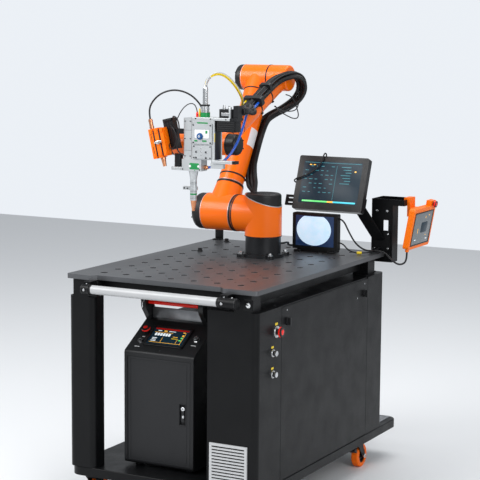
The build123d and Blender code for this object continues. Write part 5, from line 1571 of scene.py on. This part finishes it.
@dataclass
class StandTrim(Trim):
    """Screws, switch plates, rivets and the fittings of the handle and the castors."""

    post_top: float = -86.0
    cabinet_side: float = 827.0
    stop: tuple = (163, -175)
    buttons: tuple = ((133, -251), (133, -331))
    handle_axis: tuple = (-34, -47)
    castors: tuple = ((62, 92), (62, 1048), (768, 92), (768, 1048))
    castor_plate: float = -802.0

    def build(self) -> None:
        """Adds the trim of the posts, cabinet, handle and castors."""
        side = self.cabinet_side
        self.add("post_top_screws", Look.DARK_METAL, [
            cap_screw(TOP.at(x, y, self.post_top), 4.2, 3.6) for x, y in (
                (16, 22), (104, 22), (16, 66), (104, 66), (20, 1024), (100, 1024), (20, 1168), (100, 1168),
                (640, 26), (706, 22), (640, 190), (806, 190), (640, 1024), (640, 1166), (810, 1030),
                (790, 1166),
            )
        ])
        rivets = [RIGHT.at(side, y, z) for y, z in ((250, -106), (974, -108), (902, -160))]
        self.add("panel_rivets", Look.BRIGHT, [cap_screw(spot, 3.4, 1.8) for spot in rivets])
        plates = [slab(RIGHT.at(side, 163, -146), 21, 9, 0.7, 1.5, 0.2)]
        rings = [ring(RIGHT.at(side, *self.stop), 12.5, 22.8, 5.6, 40)]
        button = [(0, 10.6), (7.4, 10.6), (8.4, 9.4), (8.4, 3), (7.6, 2.6)]
        for y, z in self.buttons:
            plates.append(slab(RIGHT.at(side, y, z + 22), 19, 8, 0.7, 1.5, 0.2))
            rings.append(ring(RIGHT.at(side, y, z), 10.2, 15.0, 6.4, 40))
            rings.append(lathe(RIGHT.at(side + 11, y, z), button, 32))
        self.add("switch_plates", Look.YELLOW, plates)
        self.add("switch_rings", Look.BRIGHT, rings)
        self.add("cabinet_stop_head", Look.RED, dome(RIGHT.at(side + 16.6, *self.stop), 19.6, 11.6))
        self._handle()
        self._castors()

    def _handle(self) -> None:
        """Rings, bolts and blocks of the push handle."""
        y, z = self.handle_axis
        self.add(
            "handle_rings", Look.BLACK_COVER,
            RIGHT.each(collar, (102, 130, 698, 762), y, z, 20.0, 3.0, 0.8),
            RIGHT.each(collar, (138.5, 689.5), y, z, 17.0, 5.0, 1.6),
        )
        self.add(
            "handle_bolts", Look.BRIGHT, FRONT.each(cap_screw, (116, 712), y - 20, z, 5.0, 4.0),
            TOP.each(cap_screw, (116, 712, 745), y, z + 20, 4.0, 3.0),
            hex_bolt(FRONT.at(790, 8, -56), 7.0, 6.0),
        )
        self.add(
            "handle_corner_blocks", Look.BLACK_PAINT, slab(FRONT.at(790, 14, -56), 40, 42, 6.4, 6, 1.5),
            slab(FRONT.at(116, 36, -52), 46, 60, 30, 8, 2),
        )

    def _castors(self) -> None:
        """Axle nuts, brake pedals and plate bolts of the four castors."""
        nut = [(0, 9.6), (5.6, 9.6), (6.8, 8.0), (6.8, 3), (5.4, 2.6)]
        nuts = []
        pedals = []
        bolts = []
        for x, y in self.castors:
            for side in (-1, 1):
                nuts.append(lathe(Axes((x + side * 23, y + 34, -875), (0, 1, 0), (side, 0, 0)), nut, 24))
            pedals.append(slab(Axes((x, y - 30, -846), (1, 0, 0), (0, -0.86, 0.5)), 40, 12, 26, 4, 2))
            pedals.append(slab(FRONT.at(x, y - 20, -838), 30, 14, 20, 3, 1))
            bolts += DOWN.each(cap_screw, (x - 34, x + 34), (y - 34, y + 34), self.castor_plate, 4.4, 3.6)
        self.add("castor_axle_nuts", Look.BRIGHT, nuts)
        self.add("castor_brake_pedals", Look.BLACK_COVER, pedals)
        self.add("castor_plate_bolts", Look.BRIGHT, bolts)


@dataclass
class SourceTrim(Trim):
    """Console, ears, lock and lines of the laser source."""

    corner: tuple = (115.0, -303.0)
    slope: float = math.atan2(99.0, 165.0)
    door: str = "source_door_leaf"
    door_front: float = 115.0
    door_middle: float = -528.5
    ear_places: tuple = (200, 458)
    ear_half: float = 10.7

    def console(self, x: float, along: float, lift: float = 0.0) -> Axes:
        """Axes on the sloping console at a distance up it."""
        rise, run = math.sin(self.slope), math.cos(self.slope)
        y = self.corner[0] + along * run - lift * rise
        z = self.corner[1] + along * rise + lift * run
        return Axes((x, y, z), (1, 0, 0), (0.0, -rise, run))

    def build(self) -> None:
        """Adds the trim of the console, the handle's ears and the door."""
        self.add("console_stop_head", Look.RED, dome(self.console(232, 118, 14.6), 17.6, 10.4))
        self.add(
            "console_knobs", Look.BRIGHT,
            lathe(self.console(232, 62), [(0, 13), (3, 13), (9.4, 10.4), (9.4, 4), (8.4, 3.6)], 32),
            lathe(self.console(466, 100), [(0, 14), (3, 13.6), (4, 11.6), (12.4, 11.2), (12.6, 9)], 32),
            slab(self.console(466, 100, 12.4), 5, 19, 4, 2, 1),
        )
        face = self.console(340, 98)
        self.add("console_bezel", Look.HOUSING, four_bars(face, 84, 52, 178, 114, 10, 6, 3, 1.4))
        self.prints("console_screen", face.moved(out=3.0), [
            (0, 42, 150, 8, Look.RED), (-52, 31, 16, 4, Look.LAMP_WHITE), (-26, 31, 14, 6, Look.LAMP_AMBER),
            (4, 31, 30, 3, Look.LAMP_WHITE), (58, 31, 10, 5, Look.LAMP_AMBER),
            *[(-60 + 12 * index, 10, 9, 15, Look.LAMP_WHITE) for index in range(6)],
            (-30, 21.5, 82, 1.4, Look.LAMP_AMBER), (30, 2, 22, 2.4, Look.LAMP_AMBER),
            (30, -8, 26, 5, Look.YELLOW), (60, 14, 8, 8, Look.LAMP_AMBER), (60, 0, 8, 8, Look.LAMP_GREEN),
            (58, -14, 12, 6, Look.LAMP_GREEN), (-56, -12, 22, 3, Look.LAMP_WHITE),
            (-56, -20, 18, 3, Look.LAMP_WHITE), (-56, -28, 22, 3, Look.LAMP_WHITE),
            (-22, -20, 1.4, 26, Look.LAMP_AMBER), (46, -20, 1.4, 26, Look.LAMP_AMBER),
            (0, -36, 140, 1.4, Look.LAMP_AMBER), (66, -4, 1.4, 68, Look.LAMP_AMBER),
        ])
        self.prints("console_marks", self.console(340, 8), [
            (0, 12, 1.0, 1.0, Look.WHITE), (-108, 22, 22, 3, Look.WHITE), (126, 60, 22, 3, Look.WHITE),
            (-108, 80, 12, 4, Look.WHITE),
        ], 0.4)
        self._ears()
        self._door()

    def _ears(self) -> None:
        """Black covers over the handle's ears, the strip behind the bar and the lifting eye."""
        outline = [
            (281.5, -205.5), (247, -160), (241, -147), (240, -134), (240, -126), (246, -114), (258, -105),
            (270, -104), (284, -109), (294, -120), (297, -134), (341, -205.5),
        ]
        half = self.ear_half
        ears = []
        for x in self.ear_places:
            ears.append(Shell.tube([[(side, y, z) for y, z in outline] for side in (x - half, x + half)]))
            for side in (-1, 1):
                ears.append(cap_screw(Axes((x + side * half, 268, -132), (0, 1, 0), (side, 0, 0)), 8, 3))
        self.add("handle_ear_covers", Look.BLACK_COVER, ears)
        self.add("rear_deflector", Look.RIM, slab(FRONT.at(329, 300, -178), 236, 44, 8, 6, 2))
        stem = lathe(DOWN.at(196, 240.4, -132), [(0, 2.0), (20, 2.0), (22, 1.2)], 16)
        self.add("lifting_eye", Look.BRIGHT, ring(FRONT.at(196, 242, -124), 4.6, 8.0, 3.4, 28), stem)

    def _door(self) -> None:
        """Painted shade in the door's pull recess, the lock and pull frame, and the lines near its edge."""
        pull = FRONT.at(452, self.door_front + 8, self.door_middle)
        # Painted shade: a near-black slab in the pull's recess.
        self.add("pull_recess_shade", Look.HOLE_SHADE, slab(pull.moved(out=0.05), 23, 79, 0.6, 6, 0.2), body=self.door)
        self.add(
            "door_lock", Look.BRIGHT,
            lathe(pull.moved(0, 22), [(0, 8.4), (5.6, 8.4), (6.4, 7.4), (6.4, 2.4), (5.4, 2.0)], 28),
            slab(pull.moved(0, -12, 0.4), 9, 38, 4.6, 4, 1.4), body=self.door,
        )
        face = FRONT.at(452, self.door_front, self.door_middle)
        bars = four_bars(face, 14, 43, 30, 86, 3, 1.4, 1, 0.5)
        self.add("pull_frame", Look.BLACK_COVER, bars, body=self.door)
        edge = FRONT.at(345, self.door_front, self.door_middle)
        self.add(
            "door_edge_bead", Look.DARK_METAL,
            [slab(edge.moved(x, 0), 1.6, 392, 0.7, 0.6, 0.2) for x in (-126, 126)],
            [slab(edge.moved(0, y), 252, 1.6, 0.7, 0.6, 0.2) for y in (-196, 196)], body=self.door,
        )


@dataclass(kw_only=True)
class ScreenTrim(Trim):
    """What shows on the two screens and the pendant, without words."""

    screen: Axes
    pendant_spot: tuple = (920, 1268, 22)
    pendant_lean: float = math.radians(10.0)
    disc_steps: int = 64

    def build(self) -> None:
        """Adds the pictures, then the pendant's trim and the holder's."""
        self._front_screen()
        self._camera_screen()
        self._pendant()
        self.add(
            "holder_bolts", Look.BRIGHT, FRONT.each(cap_screw, (790, 836), 1180, 176, 5.0, 3.4),
            FRONT.each(cap_screw, (782, 845), 1174, (16, 78), 4.0, 3.0),
        )
        plug = Axes((758, 1043, 7), (0, 0, 1), (0.9, 0.42, 0.0))
        self.add("yellow_plug", Look.YELLOW, lathe(plug, [(0, 3.4), (2, 6.2), (20, 6.2), (22, 3.4)], 20))

    def _front_screen(self) -> None:
        """Bars and rows of short strokes, whose lengths follow from their row and column."""
        marks = [
            (-60, -84, 120, 7, Look.LAMP_GREEN), (12, -84, 30, 7, Look.LAMP_AMBER),
            (76, -84, 104, 7, Look.LAMP_CYAN), (0, 86, 262, 1.6, Look.TEAL_PRINT),
        ]
        for row in range(7):
            for column in range(6):
                if (row * 5 + column * 3) % 4:
                    width = 8 + (row * 7 + column * 5) % 9
                    marks.append((-118 + 24 * column, 70 - 19 * row, width, 2.4, Look.TEAL_PRINT))
            marks.append((64 + (row % 3) * 6, 70 - 12 * row, 44 - (row % 3) * 8, 2.4, Look.TEAL_PRINT))
        marks += [
            (-104, 76, 10, 4, Look.LAMP_AMBER), (-86, 76, 10, 4, Look.LAMP_AMBER),
            (108, 52, 8, 6, Look.LAMP_AMBER), (20, 0, 1.2, 150, Look.TEAL_PRINT),
        ]
        self.prints("screen", self.screen.moved(0, 121), marks)

    def _camera_screen(self) -> None:
        """The camera monitor's dark picture with a pale disc, cut flat at its top, and its feet."""
        camera = FRONT.at(578, 1008, 91)
        self.add("camera_picture", Look.LAMP_NAVY, slab(camera.moved(out=0.05), 177, 129, 0.5, 1, 0.1))
        turn = np.linspace(0, FULL_TURN, self.disc_steps, endpoint=False)
        outline = np.column_stack([-4 + 80 * np.cos(turn), np.minimum(6 + 68 * np.sin(turn), 62)])
        rings = [camera.at(np.column_stack([outline, np.full(len(turn), out)])) for out in (0.6, 1.0)]
        self.add("camera_disc", Look.LAMP_SKY, Shell.tube(rings))
        self.add("camera_feet", Look.HOUSING, TOP.each(slab, (500, 656), 1004, 0, 30, 14, 9, 3, 1.5))

    def _pendant(self) -> None:
        """The pendant's glass with its marks, its stop head, inner rim and back."""
        out = (math.cos(self.pendant_lean), 0, -math.sin(self.pendant_lean))
        pendant = Axes(self.pendant_spot, (0, 1, 0), out)
        face = pendant.moved(0, 86, 26.0)
        self.add("pendant_glass", Look.GREY_GLASS, slab(face.moved(out=0.05), 195, 135, 0.6, 2, 0.2))
        self.prints("pendant_marks", face.moved(out=0.6), [
            (60, 52, 12, 3, Look.LAMP_AMBER), (24, 46, 4, 9, Look.LAMP_AMBER),
            (-46, -10, 3, 22, Look.LAMP_AMBER), (50, -34, 8, 3, Look.LAMP_AMBER),
            (20, 2, 70, 46, Look.PANEL), (-60, -48, 18, 3, Look.LAMP_WHITE),
            (66, -52, 16, 3, Look.LAMP_WHITE),
        ], 0.4)
        self.add("pendant_stop_head", Look.RED, dome(pendant.moved(86, 184, 31.6), 14.8, 9.6))
        self.add("pendant_inner_rim", Look.BLACK_COVER, four_bars(face, 100, 70, 206, 142, 5, 2.0, 2, 0.8))
        back = slab(pendant.moved(0, 88, -0.6), 200, 150, 1.2, 10, 0.5)
        self.add("pendant_back", Look.BLACK_COVER, back)


NODE_LOOKS = {
    Look.TABLE: ("table_top",),
    Look.BLACK_PAINT: (
        "table_frame", "base_platform", "left_posts", "cabinet_posts", "cabinet_frame", "side_panel",
        "castor_forks", "handle_brackets", "monitor_bracket", "pendant_holder",
    ),
    Look.TREAD: ("tread_plate",),
    Look.BLACK_COVER: (
        "panel_latches", "column_cap", "upper_arm_caps", "forearm_end_cap", "wrist1_cap", "wrist2_cap",
        "forearm_saddles", "control_buttons",
    ),
    Look.VENT: ("vent_grille",),
    Look.TYRE: ("castor_tyres",),
    Look.BRIGHT: ("fibre_connector",),
    Look.HANDLE: ("push_handle",),
    Look.SOURCE: ("source_body",),
    Look.SOURCE_DOOR: ("source_door",),
    Look.RED: ("source_handle",),
    Look.DARK_METAL: ("robot_base", "wire_feed_slide", "side_rails", "castor_hubs"),
    Look.ORANGE: (
        "shoulder_column", "upper_arm_hub", "upper_arm_tube", "elbow_hub", "forearm_hub", "forearm_tube",
        "forearm_end", "wrist1_housing", "wrist2_housing",
    ),
    Look.SILVER: ("tool_flange", "tool_bracket", "weld_head", "nozzle_tube"),
    Look.COPPER: ("copper_nozzle", "wire_nozzle"),
    Look.PENDANT: ("pendant_body", "wire_feed_clamp"),
    Look.HOUSING: ("monitor_housing", "camera_monitor"),
    Look.PANEL: ("display_screens",),
}


def dress_frame(workshop: Workshop) -> None:
    """Gives every frame node its finish."""
    for look, nodes in NODE_LOOKS.items():
        for node in nodes:
            workshop.dress(node, look)


def main() -> None:
    """Builds the machine's dressed parts in order."""
    logging.basicConfig(level=logging.INFO, format="%(name)s: %(message)s")
    workshop = Workshop()
    Studio().build()
    arm = ArmShape()
    tilt = math.radians(20.0)
    screen = Axes((618.5, 1030, 180), (1, 0, 0), (0.0, -math.cos(tilt), math.sin(tilt)))
    HoseSet(arm, screen).build(workshop)
    dress_frame(workshop)
    for trim in (
        RobotTrim(workshop, arm=arm), HeadTrim(workshop), FeedTrim(workshop),
        TableTrim(workshop, arm_spot=arm.base), StandTrim(workshop), SourceTrim(workshop),
        ScreenTrim(workshop, screen=screen),
    ):
        trim.build()
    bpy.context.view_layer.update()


if __name__ == "__main__":
    main()
